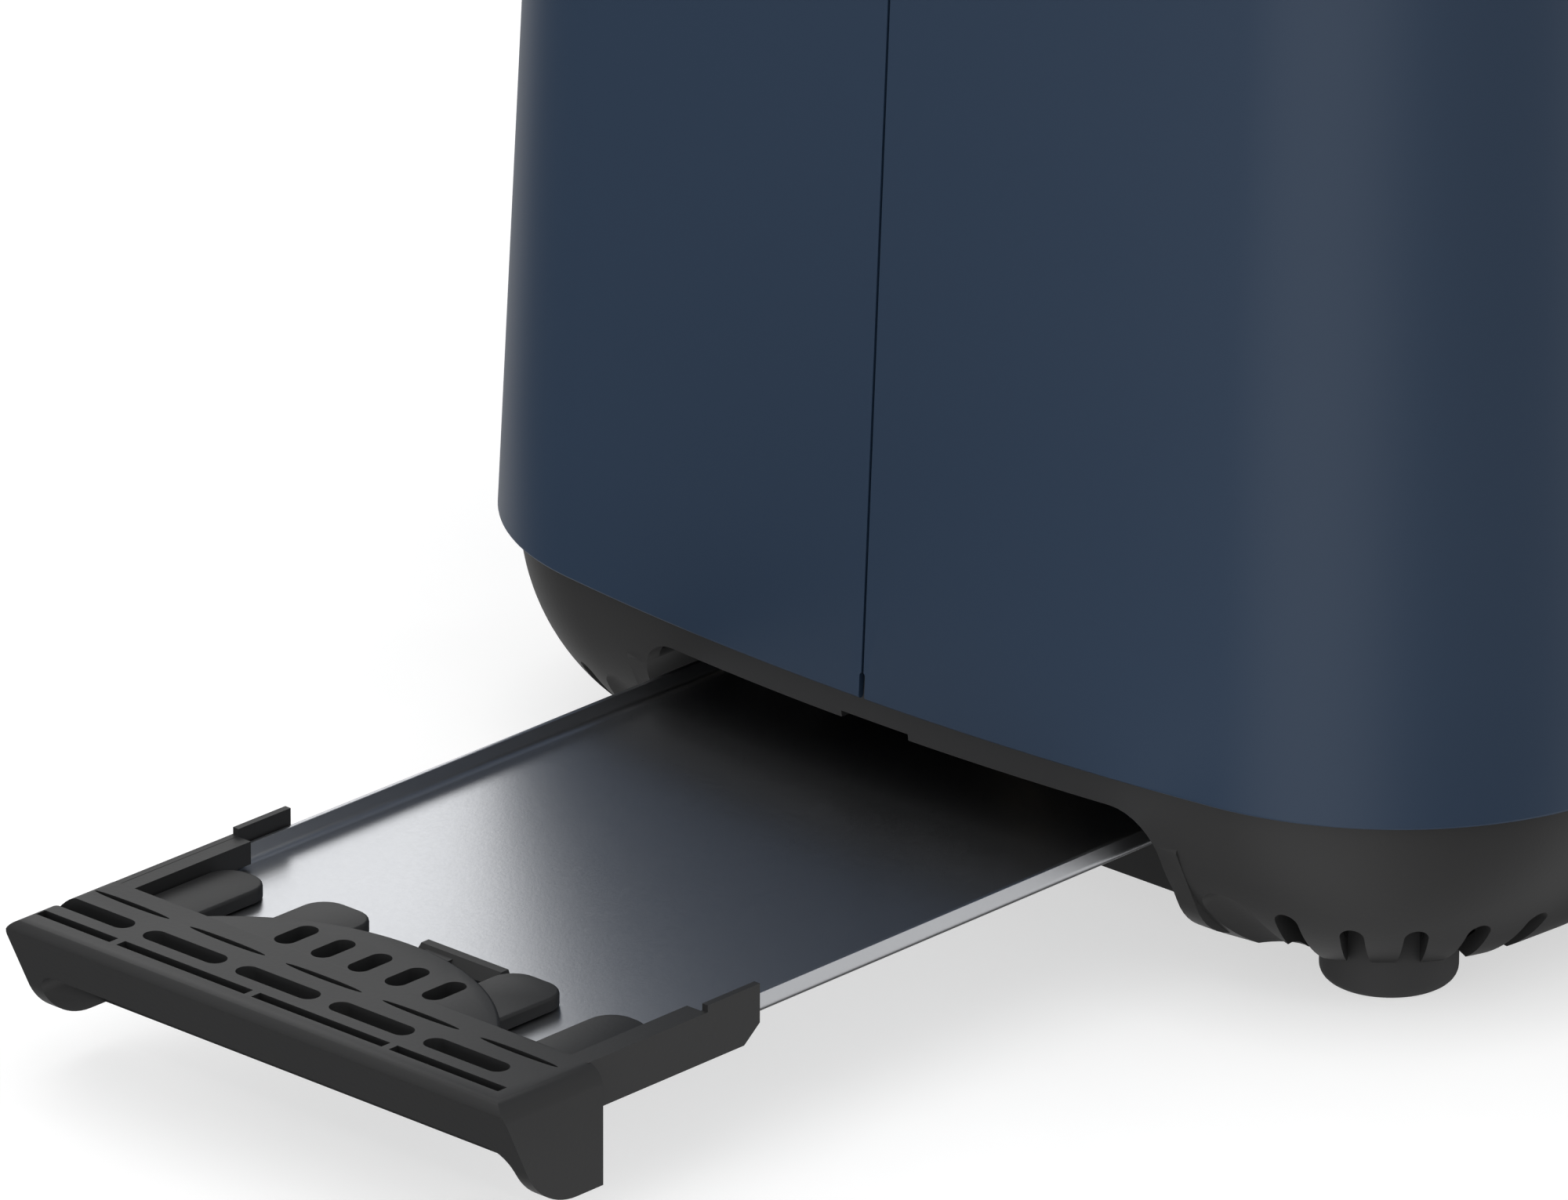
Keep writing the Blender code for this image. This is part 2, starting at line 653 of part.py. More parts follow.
def make_tray_handle(tray):
    """The tray's plastic handle: a hollow pull with a slotted top, clips for the pan and a stop disc."""
    front = HANDLE_FRONT
    top = HANDLE_TOP
    rear = front + HANDLE_DEPTH
    inner = HANDLE_HALF - 2.2
    solid = prism_mesh(handle_section(front, HANDLE_DEPTH), -HANDLE_HALF, HANDLE_HALF, along="X")
    face = rounded_rectangle(HANDLE_HALF, 10.0, 4.5, (0.0, top - 10.0), lower_radius=0)
    solid = combine(solid, prism_mesh(face, front - 3, rear + 3, along="Y"), "INTERSECT")
    recess = rounded_rectangle(inner, 10.0, 3.5, (0.0, top - 17.6), lower_radius=0)
    solid = combine(solid, prism_mesh(recess, front - 4, rear - 2.0, along="Y"), "DIFFERENCE")
    hollow = box_mesh((-inner + 1.0, front + 5.2, -8.0), (inner - 1.0, rear - 2.0, top - 2.2))
    solid = combine(solid, hollow, "DIFFERENCE")

    segment = []
    for k in range(13):
        angle = math.radians(41.0 + 98.0 * k / 12)
        segment.append((0.2 + 34.0 * math.cos(angle), rear + 11.2 - 34.0 + 34.0 * math.sin(angle)))
    segment = [(x, max(y, rear - 0.6)) for x, y in segment]
    pieces = [solid, prism_mesh(segment, top - 2.0, top)]
    for sign in (-1, 1):
        clip = [
            (37.2, top), (40.5, top), (40.5, 14.4), (39.55, 14.4),
            (39.55, 20.1), (38.35, 20.1), (38.35, 17.8), (37.2, 17.8),
        ]
        outer = [(39.55, 20.5), (40.5, 20.5), (40.5, 14.4), (39.55, 14.4)]
        outline = [(sign * x, z) for x, z in clip]
        tip = [(sign * x, z) for x, z in outer]
        pieces.append(prism_mesh(outline[::sign], rear - 0.5, rear + 20.5, along="Y"))
        pieces.append(prism_mesh(tip[::sign], rear + 19.5, rear + 30.0, along="Y"))
        for low, high, reach in ((28.6, 36.8, 16.0), (11.2, 21.2, 17.0)):
            middle = (sign * (low + high) / 2, rear + reach / 2 - 1.0)
            paddle = rounded_rectangle((high - low) / 2, reach / 2 + 1.0, 3.6, middle, 4)
            pieces.append(prism_mesh(paddle, 17.55, 19.3))
    pieces.append(box_mesh((-4.0, rear + 12.4, 17.6), (10.8, rear + 17.6, 19.5)))
    pieces.append(box_mesh((-4.0, rear + 6.0, 17.6), (1.0, rear + 13.0, 19.4)))
    handle = place_mesh("crumb_tray_handle", all_of(pieces), "base_plastic", tray)

    for k in range(5):
        slot = stadium(6.7, 1.55, (-3.8 + 15.95 * (k - 2), front + 8.7))
        cut(handle, f"top_slot_{k}", prism_mesh(slot, top - 4.0, top + 2.0))
        slit = stadium(6.4, 0.45, (-0.8 + 16.5 * (k - 2), front + 13.6), steps=3)
        cut(handle, f"rear_slit_{k}", prism_mesh(slit, top - 4.0, top + 2.0))
        hole = stadium(3.3, 1.5, (0.1 + 6.3 * (k - 2), rear + 3.4), along="y")
        cut(handle, f"disc_slot_{k}", prism_mesh(hole, top - 4.0, top + 2.0))
    ribs = (-41.0, -27.0, -3.8, 19.5, 39.0)
    for k, (a, b) in enumerate(zip(ribs, ribs[1:])):
        groove = box_mesh((a + 0.6, front + 3.8, top - 1.1), (b - 0.6, front + 4.9, top + 2.0))
        cut(handle, f"groove_{k}", groove)


def make_tray_pan(tray):
    """The folded steel pan: a floor with low lips along both sides and across its inner end."""
    low = PAN_BOTTOM
    start = HANDLE_FRONT + HANDLE_DEPTH + GAP
    block = box_mesh((-PAN_HALF, start, low), (PAN_HALF, PAN_END, low + PAN_LIP))
    pan = place_mesh("crumb_tray_pan", block, "tray_steel", tray)
    inside = PAN_HALF - PAN_SHEET
    hollow = box_mesh((-inside, start - 2, low + PAN_SHEET), (inside, PAN_END - PAN_SHEET, low + 9))
    cut(pan, "pan_inside", hollow)


def make_tray_rails():
    """Two channel rails fixed between the chassis end plates, which carry the pan's edges."""
    low = PAN_BOTTOM - GAP - 1.0
    high = PAN_BOTTOM + PAN_LIP + GAP + 1.0
    sheet = 0.8
    mouth, back = 38.0, 43.4
    channel = [
        (mouth, low), (back, low), (back, high), (mouth, high), (mouth, high - sheet),
        (back - sheet, high - sheet), (back - sheet, low + sheet), (mouth, low + sheet),
    ]
    for side, sign in (("left", -1), ("right", 1)):
        outline = [(sign * x, z) for x, z in channel]
        mesh = prism_mesh(outline[::sign], REAR_PLATE_Y + 1.2, FRONT_PLATE_Y - GAP, along="Y")
        place_mesh(f"tray_rail_{side}", mesh, "chassis_steel")


# ---------------------------------------------------------------- chassis and heating

def make_chassis():
    """Two steel end plates that stand on the base, and the bright reflectors outside the chambers."""
    for name, y in (("rear", REAR_PLATE_Y), ("front", FRONT_PLATE_Y)):
        outline = [
            (-CHASSIS_HALF, 6.4), (-47.0, 6.4), (-47.0, 22.6), (47.0, 22.6), (47.0, 6.4),
            (CHASSIS_HALF, 6.4), (CHASSIS_HALF, 178.0), (-CHASSIS_HALF, 178.0),
        ]
        sheet = prism_mesh(outline, y, y + 0.8, along="Y")
        plate = place_mesh(f"chassis_plate_{name}", sheet, "chassis_steel")
        for side, sign in (("left", -1), ("right", 1)):
            slot = stadium(35.0, 2.6, (sign * SLOT_X, 72.0), along="y")
            cut(plate, f"rack_slot_{name}_{side}", prism_mesh(slot, y - 3, y + 4, along="Y"))
    for side, sign in (("left", -1), ("right", 1)):
        low, high = sorted((sign * 50.0, sign * 50.8))
        sheet = box_mesh((low, REAR_PLATE_Y + 1.2, 24.0), (high, FRONT_PLATE_Y - GAP, 176.0))
        place_mesh(f"reflector_{side}", sheet, "bright_steel")


def make_heaters():
    """Four mica boards: one outside each chamber and two back to back between them."""
    places = {"outer_left": -46.0, "inner_left": -2.4, "inner_right": 2.4, "outer_right": 46.0}
    for name, x in places.items():
        board = box_mesh((x - 0.4, -90.0, 30.0), (x + 0.4, 74.0, 168.0))
        place_mesh(f"heater_board_{name}", board, "mica_sheet")


def make_bread_grids():
    """The wire grids each side of a slice. They close in on the slice as the carriage goes down."""
    places = {"outer_left": -42.0, "inner_left": -5.6, "inner_right": 5.6, "outer_right": 42.0}
    for name, x in places.items():
        holder = new_empty(f"grid_slide_{name}", (x, 0.0, 0.0), BODY)
        routes = [[(x, y, 36.0), (x, y, 162.0)] for y in (-82.0, -45.0, -8.0, 29.0, 66.0)]
        routes += [[(x, -84.0, z), (x, 68.0, z)] for z in (44.0, 152.0)]
        place_mesh(f"bread_grid_{name}", wire_mesh(routes, 0.9), "grid_wire", holder, (x, 0.0, 0.0))


def make_carriage(carriage):
    """The carriage outside the front plate: bracket and lever arm, both bread racks, the keeper."""
    y = FRONT_PLATE_Y + 2.0
    bracket = all_of([
        box_mesh((-30.0, y, RACK_UP - 6.0), (30.0, y + 1.5, RACK_UP + 6.0)),
        box_mesh((-27.0, y + 0.5, RACK_UP - 6.0), (-13.0, y + 12.0, RACK_UP - 4.0)),
        box_mesh((-4.0, y, RACK_UP), (4.0, y + 1.5, LEVER_UP + 3.0)),
        box_mesh((-1.4, y + 0.5, LEVER_UP - 3.0), (1.4, 149.0, LEVER_UP + 3.0)),
    ])
    place_mesh("carriage_bracket", bracket, "chassis_steel", carriage)
    bore = rod_mesh((-20.0, y + 6.5, RACK_UP - 12), (-20.0, y + 6.5, RACK_UP), 2.35, 16)
    cut(bpy.data.objects["carriage_bracket"], "rod_bore", bore)
    for side, sign in (("left", -1), ("right", 1)):
        x = sign * SLOT_X
        rail_start = (x - 1.2, REAR_PLATE_Y - 3.0, RACK_UP - 2.0)
        pieces = [box_mesh(rail_start, (x + 1.2, y - GAP, RACK_UP + 2.0))]
        for k in range(6):
            rung = -78.0 + 28.0 * k
            low = (x - 9.0, rung - 1.0, RACK_UP + 1.5)
            pieces.append(box_mesh(low, (x + 9.0, rung + 1.0, RACK_UP + 3.5)))
        place_mesh(f"bread_rack_{side}", all_of(pieces), "chassis_steel", carriage)
    keeper = box_mesh((11.0, y + 1.8, RACK_UP - 6.0), (27.0, y + 14.0, RACK_UP - 4.2))
    place_mesh("keeper_plate", keeper, "chassis_steel", carriage)


def make_lever_knob(carriage):
    """The lever's thumb piece in front of the panel: a broad rounded bar, dished on top."""
    outline = rounded_rectangle(15.0, 6.5, 5.5, (0.0, LEVER_UP), steps=6)
    reach = BODY_LENGTH / 2 + CONTROL_REACH
    bar = prism_mesh(outline, 149.4, reach, along="Y")
    knob = place_mesh("lever_knob", bar, "knob_plastic", carriage)
    dish = rod_mesh((-20.0, 157.5, LEVER_UP + 21.0), (20.0, 157.5, LEVER_UP + 21.0), 16.0, 32)
    cut(knob, "thumb_dish", dish)


def make_lift_parts():
    """The fixed guide rod, the return spring round it and the magnet that holds the carriage down."""
    y = FRONT_PLATE_Y + 8.5
    place_mesh("guide_rod", rod_mesh((-20.0, y, 6.6), (-20.0, y, 160.0), 2.0, 16), "bright_steel")
    turns = 11
    steps = 9
    low, high = 14.0, RACK_UP - 6.6
    route = []
    for k in range(turns * steps + 1):
        angle = math.tau * k / steps
        height = low + 0.6 + (high - low - 1.2) * k / (turns * steps)
        route.append((-20.0 + 3.7 * math.cos(angle), y + 3.7 * math.sin(angle), height))
    place_mesh("return_spring", wire_mesh([route], 0.6), "bright_steel")
    core = all_of([
        box_mesh((12.0, 84.0, 20.0), (26.0, 96.0, 22.5)),
        box_mesh((12.0, 84.0, 20.0), (14.5, 96.0, 39.5)),
        box_mesh((23.5, 84.0, 20.0), (26.0, 96.0, 39.5)),
        rod_mesh((19.0, 90.0, 21.0), (19.0, 90.0, 39.5), 1.8, 12),
    ])
    place_mesh("electromagnet_core", core, "chassis_steel")
    coil = [(2.1, 37.5), (4.1, 37.5), (4.1, 24.0), (2.1, 24.0), (2.1, 37.5)]
    place_mesh("electromagnet_coil", turned_mesh(coil, (19.0, 90.0, 0.0), (0, 0, 1), 20), "coil_copper")


# ---------------------------------------------------------------- controls

def panel_band(outset, inset, low, high):
    """A band of wall that follows the shell, proud of it by outset and reaching inwards by inset."""
    return carried_mesh(
        [
            (draft_inset(low) - outset, low),
            (draft_inset(high) - outset, high),
            (draft_inset(high) + inset, high),
            (draft_inset(low) + inset, low),
        ],
        ring=True,
    )


def make_control_panel():
    """The control fascia: a plate that laps over the shell's window and a tongue that sits in it."""
    plate = combine(
        panel_band(1.8, -GAP, 30.0, 165.0),
        prism_mesh(rounded_rectangle(34.0, 60.0, 9.0, (0.0, 96.0)), 120, 170, along="Y"), "INTERSECT")
    tongue = combine(
        panel_band(1.0, 2.6, 30.0, 165.0),
        prism_mesh(rounded_rectangle(29.6, 55.6, 5.6, (0.0, 96.0)), 120, 170, along="Y"), "INTERSECT")
    panel = place_mesh("control_panel", combine(plate, tongue, "UNION"), "trim_plastic")
    slot = stadium(33.5, 2.3, (0.0, LEVER_UP - CARRIAGE_TRAVEL / 2), along="y")
    cut(panel, "lever_slot", prism_mesh(slot, 130, 170, along="Y"))
    for k in (-1, 0, 1):
        x = k * BUTTON_PITCH
        cut(panel, f"button_hole_{k + 1}", rod_mesh((x, 130, BUTTON_Z), (x, 170, BUTTON_Z), 5.3, 24))
    cut(panel, "shaft_hole", rod_mesh((0, 130, KNOB_Z), (0, 170, KNOB_Z), 3.4, 16))


def make_buttons():
    """Three round push buttons with their stems, which press switches on the control board."""
    front = BODY_LENGTH / 2 - draft_inset(BUTTON_Z) + 1.8
    profile = [
        (0.0, 2.6), (3.9, 2.6), (4.8, 2.2), (5.0, 1.5),
        (5.0, -4.0), (2.0, -4.0), (2.0, -24.0), (0.0, -24.0),
    ]
    for k, name in enumerate(("cancel", "defrost", "reheat")):
        x = (k - 1) * BUTTON_PITCH
        holder = new_empty(f"{name}_slide", (x, front, BUTTON_Z), BODY)
        mesh = turned_mesh(profile, (x, front, BUTTON_Z), (0, 1, 0), 24)
        place_mesh(f"{name}_button", mesh, "knob_plastic", holder, (x, front, BUTTON_Z))


def make_browning_knob():
    """The browning dial on its shaft, and the rotary control that the shaft turns."""
    back = BODY_LENGTH / 2 - draft_inset(KNOB_Z - KNOB_RADIUS) + 1.8 + 0.6
    holder = new_empty("browning_axis", (0.0, back, KNOB_Z), BODY)
    shaft_end = 127.6 - back
    profile = [
        (0.0, 11.5), (9.6, 11.5), (10.6, 11.0), (11.0, 10.0), (12.0, 1.6),
        (KNOB_RADIUS, 0.6), (KNOB_RADIUS, 0.0), (3.0, 0.0), (3.0, shaft_end), (0.0, shaft_end),
    ]
    mesh = turned_mesh(profile, (0.0, back, KNOB_Z), (0, 1, 0), 32)
    knob = place_mesh("browning_knob", mesh, "knob_plastic", holder, (0.0, back, KNOB_Z))
    cut(knob, "pointer", box_mesh((-0.6, back + 8.0, KNOB_Z + 4.0), (0.6, back + 15.0, KNOB_Z + 14.0)))
    body = [(0.0, 7.0), (8.0, 7.0), (8.0, 0.0), (0.0, 0.0)]
    control = turned_mesh(body, (0.0, 119.9, KNOB_Z), (0, 1, 0), 24)
    place_mesh("browning_control", control, "trim_plastic")


def make_control_board():
    """The circuit board behind the panel, cut away for the lever arm, with its three switches."""
    outline = [(-34.0, 34.0), (34.0, 34.0), (34.0, 130.0), (9.0, 130.0), (9.0, 81.0), (-34.0, 81.0)]
    pieces = [prism_mesh(outline, 118.0, 119.6, along="Y")]
    for k in (-1, 0, 1):
        x = k * BUTTON_PITCH
        pieces.append(box_mesh((x - 3.0, 119.0, BUTTON_Z - 3.0), (x + 3.0, 123.4, BUTTON_Z + 3.0)))
    pieces.append(box_mesh((14.0, 119.0, 92.0), (30.0, 130.0, 108.0)))
    pieces.append(box_mesh((-30.0, 109.0, 40.0), (-14.0, 118.5, 56.0)))
    place_mesh("control_board", all_of(pieces), "board_green")


def make_terminal_block():
    """The block where the mains lead's wires would be joined."""
    block = box_mesh((-67.0, 46.0, 6.6), (-55.0, 74.0, 20.0), 0.8)
    place_mesh("terminal_block", block, "trim_plastic")


def main():
    tray = new_empty("tray_slide", (0.0, HANDLE_FRONT, HANDLE_TOP), BODY)
    carriage = new_empty("carriage_slide", (0.0, FRONT_PLATE_Y, RACK_UP), BODY)
    make_shell()
    make_seam_strip()
    make_base()
    make_top_cover()
    make_slot_plate()
    make_feet()
    make_cord_bushing()
    make_tray_handle(tray)
    make_tray_pan(tray)
    make_tray_rails()
    make_chassis()
    make_heaters()
    make_bread_grids()
    make_carriage(carriage)
    make_lever_knob(carriage)
    make_lift_parts()
    make_control_panel()
    make_buttons()
    make_browning_knob()
    make_control_board()
    make_terminal_block()


main()
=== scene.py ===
"""The looks of a two-slice pop up toaster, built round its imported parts.

Every new piece is worked out in millimetres about the middle of the body, with Z up from the
mouldings' datum, and is then carried to its place in metres. X runs across the toaster and Y
along it, from the rear end with the crumb tray to the control end.
"""

import math

import bmesh
import bpy
import numpy as np
from mathutils import Matrix, Vector


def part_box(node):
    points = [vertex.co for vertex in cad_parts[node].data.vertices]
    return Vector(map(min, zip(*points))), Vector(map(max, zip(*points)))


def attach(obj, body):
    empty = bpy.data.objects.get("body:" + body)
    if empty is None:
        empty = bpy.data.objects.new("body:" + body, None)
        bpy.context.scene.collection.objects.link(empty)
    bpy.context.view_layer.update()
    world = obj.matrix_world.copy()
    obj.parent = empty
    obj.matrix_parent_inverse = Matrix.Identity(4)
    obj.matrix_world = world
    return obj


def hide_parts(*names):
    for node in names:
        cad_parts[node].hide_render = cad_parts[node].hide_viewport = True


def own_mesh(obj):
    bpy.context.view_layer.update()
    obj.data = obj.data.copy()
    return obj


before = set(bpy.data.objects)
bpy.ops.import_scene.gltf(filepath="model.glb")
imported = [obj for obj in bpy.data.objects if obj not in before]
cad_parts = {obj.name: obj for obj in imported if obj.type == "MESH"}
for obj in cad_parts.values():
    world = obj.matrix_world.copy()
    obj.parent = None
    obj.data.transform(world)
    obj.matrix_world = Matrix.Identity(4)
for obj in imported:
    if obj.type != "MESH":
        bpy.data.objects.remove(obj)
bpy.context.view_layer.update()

MM = 0.001
SHELL_LOW, SHELL_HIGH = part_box("housing_shell")

# ---- the body seen from above: bowed ends and sides joined by round corners
BODY_LENGTH = (SHELL_HIGH.y - SHELL_LOW.y) / MM
BODY_WIDTH = (SHELL_HIGH.x - SHELL_LOW.x) / MM
END_RADIUS = 390.0
SIDE_RADIUS = 1500.0
CORNER_RADIUS = 40.0
DRAFT = math.tan(math.radians(2.7))

# ---- heights and walls
SHELL_BOTTOM = 29.0
SHELL_TOP = 171.0
COVER_TOP = 194.0
BASE_BOTTOM = 4.0
BAND_TOP = 28.8
SHELL_WALL = 0.9
GAP = 0.3
DATUM = SHELL_LOW.z / MM - SHELL_BOTTOM
PLACE = np.array([0.0, (SHELL_LOW.y + SHELL_HIGH.y) / 2 / MM, DATUM])

# ---- the base's bowl
BOWL_INSET = 2.8
BOWL_REACH = 26.2
BOWL_DROP = 28.0
BASE_WALL = 2.2
VENT_ANGLES = (18.5, 33.5, 48.5, 63.5, 79.0)
VENT_SIDE_STEPS = (8.0, 16.0)
VENT_HALF = 1.55
SCOOP_RADIUS = 4.8
CORD_Y = 60.0
CORD_Z = 17.5
MOUTH_HALF = 43.8
MOUTH_TOP = 23.9
MOUTH_DEPTH = 25.0
FOOT_X = 59.7
FOOT_Y = 116.9
FOOT_RADIUS = 8.8

# ---- the tray
HANDLE_FRONT = -BODY_LENGTH / 2 - 109.5
HANDLE_DEPTH = 17.4
HANDLE_HALF = 42.6
HANDLE_TOP = 20.9
HANDLE_LOW = 5.3
PAN_HALF = 39.25
PAN_BOTTOM = 16.65
PAN_LIP = 3.15
PAN_SHEET = 0.6
PAN_END = -42.0

# ---- the controls
LEVER_UP = 140.0
BUTTON_Z = 75.0
BUTTON_PITCH = 17.0
KNOB_Z = 52.0
PANEL_Z = 96.0

# ---- the bread slots
SLOT_X = 23.5
SLOT_Y = -8.0


# ---------------------------------------------------------------- outlines and surfaces

def body_arcs(end_steps, corner_steps, side_steps):
    """Centre, radius and outward angle of each point round the body, starting at the rear's middle.

    The corner's centre lies where the end arc and the side arc, both drawn in by the corner's
    radius, cross; so the three arcs share a tangent where they meet. A quarter is worked out and
    mirrored: the angle a of a point becomes 180 - a at the front and -a on the left.
    """
    end = np.array([0.0, -BODY_LENGTH / 2 + END_RADIUS])
    side = np.array([BODY_WIDTH / 2 - SIDE_RADIUS, 0.0])
    reach_end = END_RADIUS - CORNER_RADIUS
    reach_side = SIDE_RADIUS - CORNER_RADIUS
    across = side - end
    apart = np.hypot(*across)
    along = (apart**2 + reach_end**2 - reach_side**2) / (2 * apart)
    off = math.sqrt(reach_end**2 - along**2)
    unit = across / apart
    corner = end + unit * along - np.array([-unit[1], unit[0]]) * off
    if corner[0] < 0:
        corner = end + unit * along + np.array([-unit[1], unit[0]]) * off
    first = math.atan2(corner[0] - end[0], end[1] - corner[1])
    second = math.atan2(corner[0] - side[0], side[1] - corner[1])
    runs = (
        (end, END_RADIUS, np.linspace(0.0, first, end_steps, endpoint=False)),
        (corner, CORNER_RADIUS, np.linspace(first, second, corner_steps, endpoint=False)),
        (side, SIDE_RADIUS, np.linspace(second, math.pi / 2, side_steps)),
    )
    centres = np.concatenate([np.tile(c, (len(a), 1)) for c, _, a in runs])
    radii = np.concatenate([np.full(len(a), r) for _, r, a in runs])
    angles = np.concatenate([a for _, _, a in runs])
    centres = np.concatenate([centres, centres[-2::-1] * (1, -1)])
    radii = np.concatenate([radii, radii[-2::-1]])
    angles = np.concatenate([angles, math.pi - angles[-2::-1]])
    centres = np.concatenate([centres, centres[-2:0:-1] * (-1, 1)])
    radii = np.concatenate([radii, radii[-2:0:-1]])
    angles = np.concatenate([angles, -angles[-2:0:-1]])
    return centres, radii, angles, corner


CENTRES, RADII, ANGLES, CORNER = body_arcs(14, 36, 14)


def body_loop(inset):
    """The body's outline moved in by inset: each point is its centre plus the shortened radius."""
    reach = RADII - inset
    x = CENTRES[:, 0] + reach * np.sin(ANGLES)
    y = CENTRES[:, 1] - reach * np.cos(ANGLES)
    return np.stack([x, y], axis=1)


def draft_inset(z):
    """How far the shell's outer face has leaned in at a height."""
    return (z - SHELL_BOTTOM) * DRAFT


def grid_faces(rows, columns, close_rows=False, close_columns=False):
    """The four corners of every cell of a grid of points, as numbers into its flattened rows."""
    r = np.arange(rows if close_rows else rows - 1)
    c = np.arange(columns if close_columns else columns - 1)
    r, c = np.meshgrid(r, c, indexing="ij")
    r_next = (r + 1) % rows
    c_next = (c + 1) % columns
    cells = [r * columns + c, r * columns + c_next, r_next * columns + c_next, r_next * columns + c]
    return np.stack(cells, axis=-1).reshape(-1, 4)


def finish_mesh(points, faces):
    """A mesh from points and faces, with doubles merged and faces turned outwards."""
    mesh = bpy.data.meshes.new("shape")
    mesh.from_pydata(np.asarray(points, float), [], faces)
    return turned_out(mesh)


def turned_out(mesh):
    bm = bmesh.new()
    bm.from_mesh(mesh)
    bmesh.ops.remove_doubles(bm, verts=bm.verts, dist=0.0005)
    bmesh.ops.recalc_face_normals(bm, faces=bm.faces)
    bm.to_mesh(mesh)
    bm.free()
    return mesh


def grid_mesh(points, close_rows=False, close_columns=False, caps=False):
    """A surface through a grid of points (rows, columns, 3); caps close its first and last row."""
    rows, columns = points.shape[:2]
    faces = grid_faces(rows, columns, close_rows, close_columns).tolist()
    if caps:
        faces.append(list(range(columns)))
        faces.append(list(range((rows - 1) * columns, rows * columns)))
    return finish_mesh(points.reshape(-1, 3), faces)


def carried_mesh(profile, ring=False):
    """A section of (inset, z) points carried round the body, as a closed ring or capped at both ends."""
    profile = np.asarray(profile, float)
    loops = np.stack([body_loop(inset) for inset in profile[:, 0]])
    heights = np.broadcast_to(profile[:, 1][:, None, None], (*loops.shape[:2], 1))
    points = np.concatenate([loops, heights], axis=2)
    return grid_mesh(points, close_rows=ring, close_columns=True, caps=not ring)


def rounded_rectangle(half_x, half_y, radius, middle=(0.0, 0.0), steps=8, lower_radius=None):
    """Points of a rectangle whose corners are quarter circles; the lower two may differ."""
    lower = radius if lower_radius is None else lower_radius
    corners = ((1, 1, 0.0, radius), (-1, 1, 90.0, radius), (-1, -1, 180.0, lower), (1, -1, 270.0, lower))
    parts = []
    for sx, sy, start, r in corners:
        if r <= 0:
            parts.append([[middle[0] + sx * half_x, middle[1] + sy * half_y]])
            continue
        a = np.radians(start + np.linspace(0.0, 90.0, steps + 1))
        x = middle[0] + sx * (half_x - r) + r * np.cos(a)
        y = middle[1] + sy * (half_y - r) + r * np.sin(a)
        parts.append(np.stack([x, y], axis=1))
    return np.concatenate(parts)


def stadium(half_length, half_width, middle, along="x", steps=8):
    """A slot outline with round ends."""
    if along == "x":
        return rounded_rectangle(half_length, half_width, half_width, middle, steps)
    return rounded_rectangle(half_width, half_length, half_width, middle, steps)


def lens(half_length, half_width, middle, steps=12):
    """A slit that is widest in its middle: its edges are the two halves of a flat sine wave."""
    a = np.linspace(0.0, math.pi, steps, endpoint=False)
    x = np.concatenate([np.cos(a), -np.cos(a)]) * half_length + middle[0]
    y = np.concatenate([np.sin(a), -np.sin(a)]) * half_width + middle[1]
    return np.stack([x, y], axis=1)


def moved_in(outline, distance):
    """A closed outline moved inwards: each point slides along the mean normal of its two edges."""
    before = outline - np.roll(outline, 1, axis=0)
    after = np.roll(outline, -1, axis=0) - outline
    before /= np.linalg.norm(before, axis=1, keepdims=True)
    after /= np.linalg.norm(after, axis=1, keepdims=True)
    left = np.stack([-(before + after)[:, 1], (before + after)[:, 0]], axis=1)
    left /= np.linalg.norm(left, axis=1, keepdims=True)
    turn = np.sum(left * np.stack([-after[:, 1], after[:, 0]], axis=1), axis=1, keepdims=True)
    area = np.sum(outline[:, 0] * np.roll(outline[:, 1], -1) - outline[:, 1] * np.roll(outline[:, 0], -1))
    return outline + left * distance * np.sign(area) / np.clip(turn, 0.5, 1.0)


AXES = {"Z": (0, 1, 2), "X": (1, 2, 0), "Y": (0, 2, 1)}


def slab_mesh(outline, low, high, along="Z", rim_low=0.0, rim_high=0.0, steps=4):
    """A flat outline given depth, with a rim rolled wherever it is given a radius.

    Ring by ring the outline is moved in by r(1 - cos t) and the depth by r(1 - sin t), for t from
    0 to 90 degrees. The outline's points are (x, y), (y, z) or (x, z) for depth along Z, X or Y.
    """
    outline = np.asarray(outline, float)
    t = np.linspace(math.pi / 2, 0.0, steps)
    levels = [(0.0, low)]
    if rim_low:
        levels = list(zip(rim_low * (1 - np.cos(t)), low + rim_low * (1 - np.sin(t))))
    if rim_high:
        levels += list(zip(rim_high * (1 - np.cos(t[::-1])), high - rim_high * (1 - np.sin(t[::-1]))))
    else:
        levels.append((0.0, high))
    first, second, depth = AXES[along]
    points = np.zeros((len(levels), len(outline), 3))
    for row, (inset, level) in enumerate(levels):
        ring = moved_in(outline, inset) if inset else outline
        points[row, :, first] = ring[:, 0]
        points[row, :, second] = ring[:, 1]
        points[row, :, depth] = level
    return grid_mesh(points, close_columns=True, caps=True)


def box_mesh(low, high):
    """A box between two corners, as a slab over its rectangle."""
    (x0, y0, z0), (x1, y1, z1) = low, high
    return slab_mesh([(x0, y0), (x1, y0), (x1, y1), (x0, y1)], z0, z1)


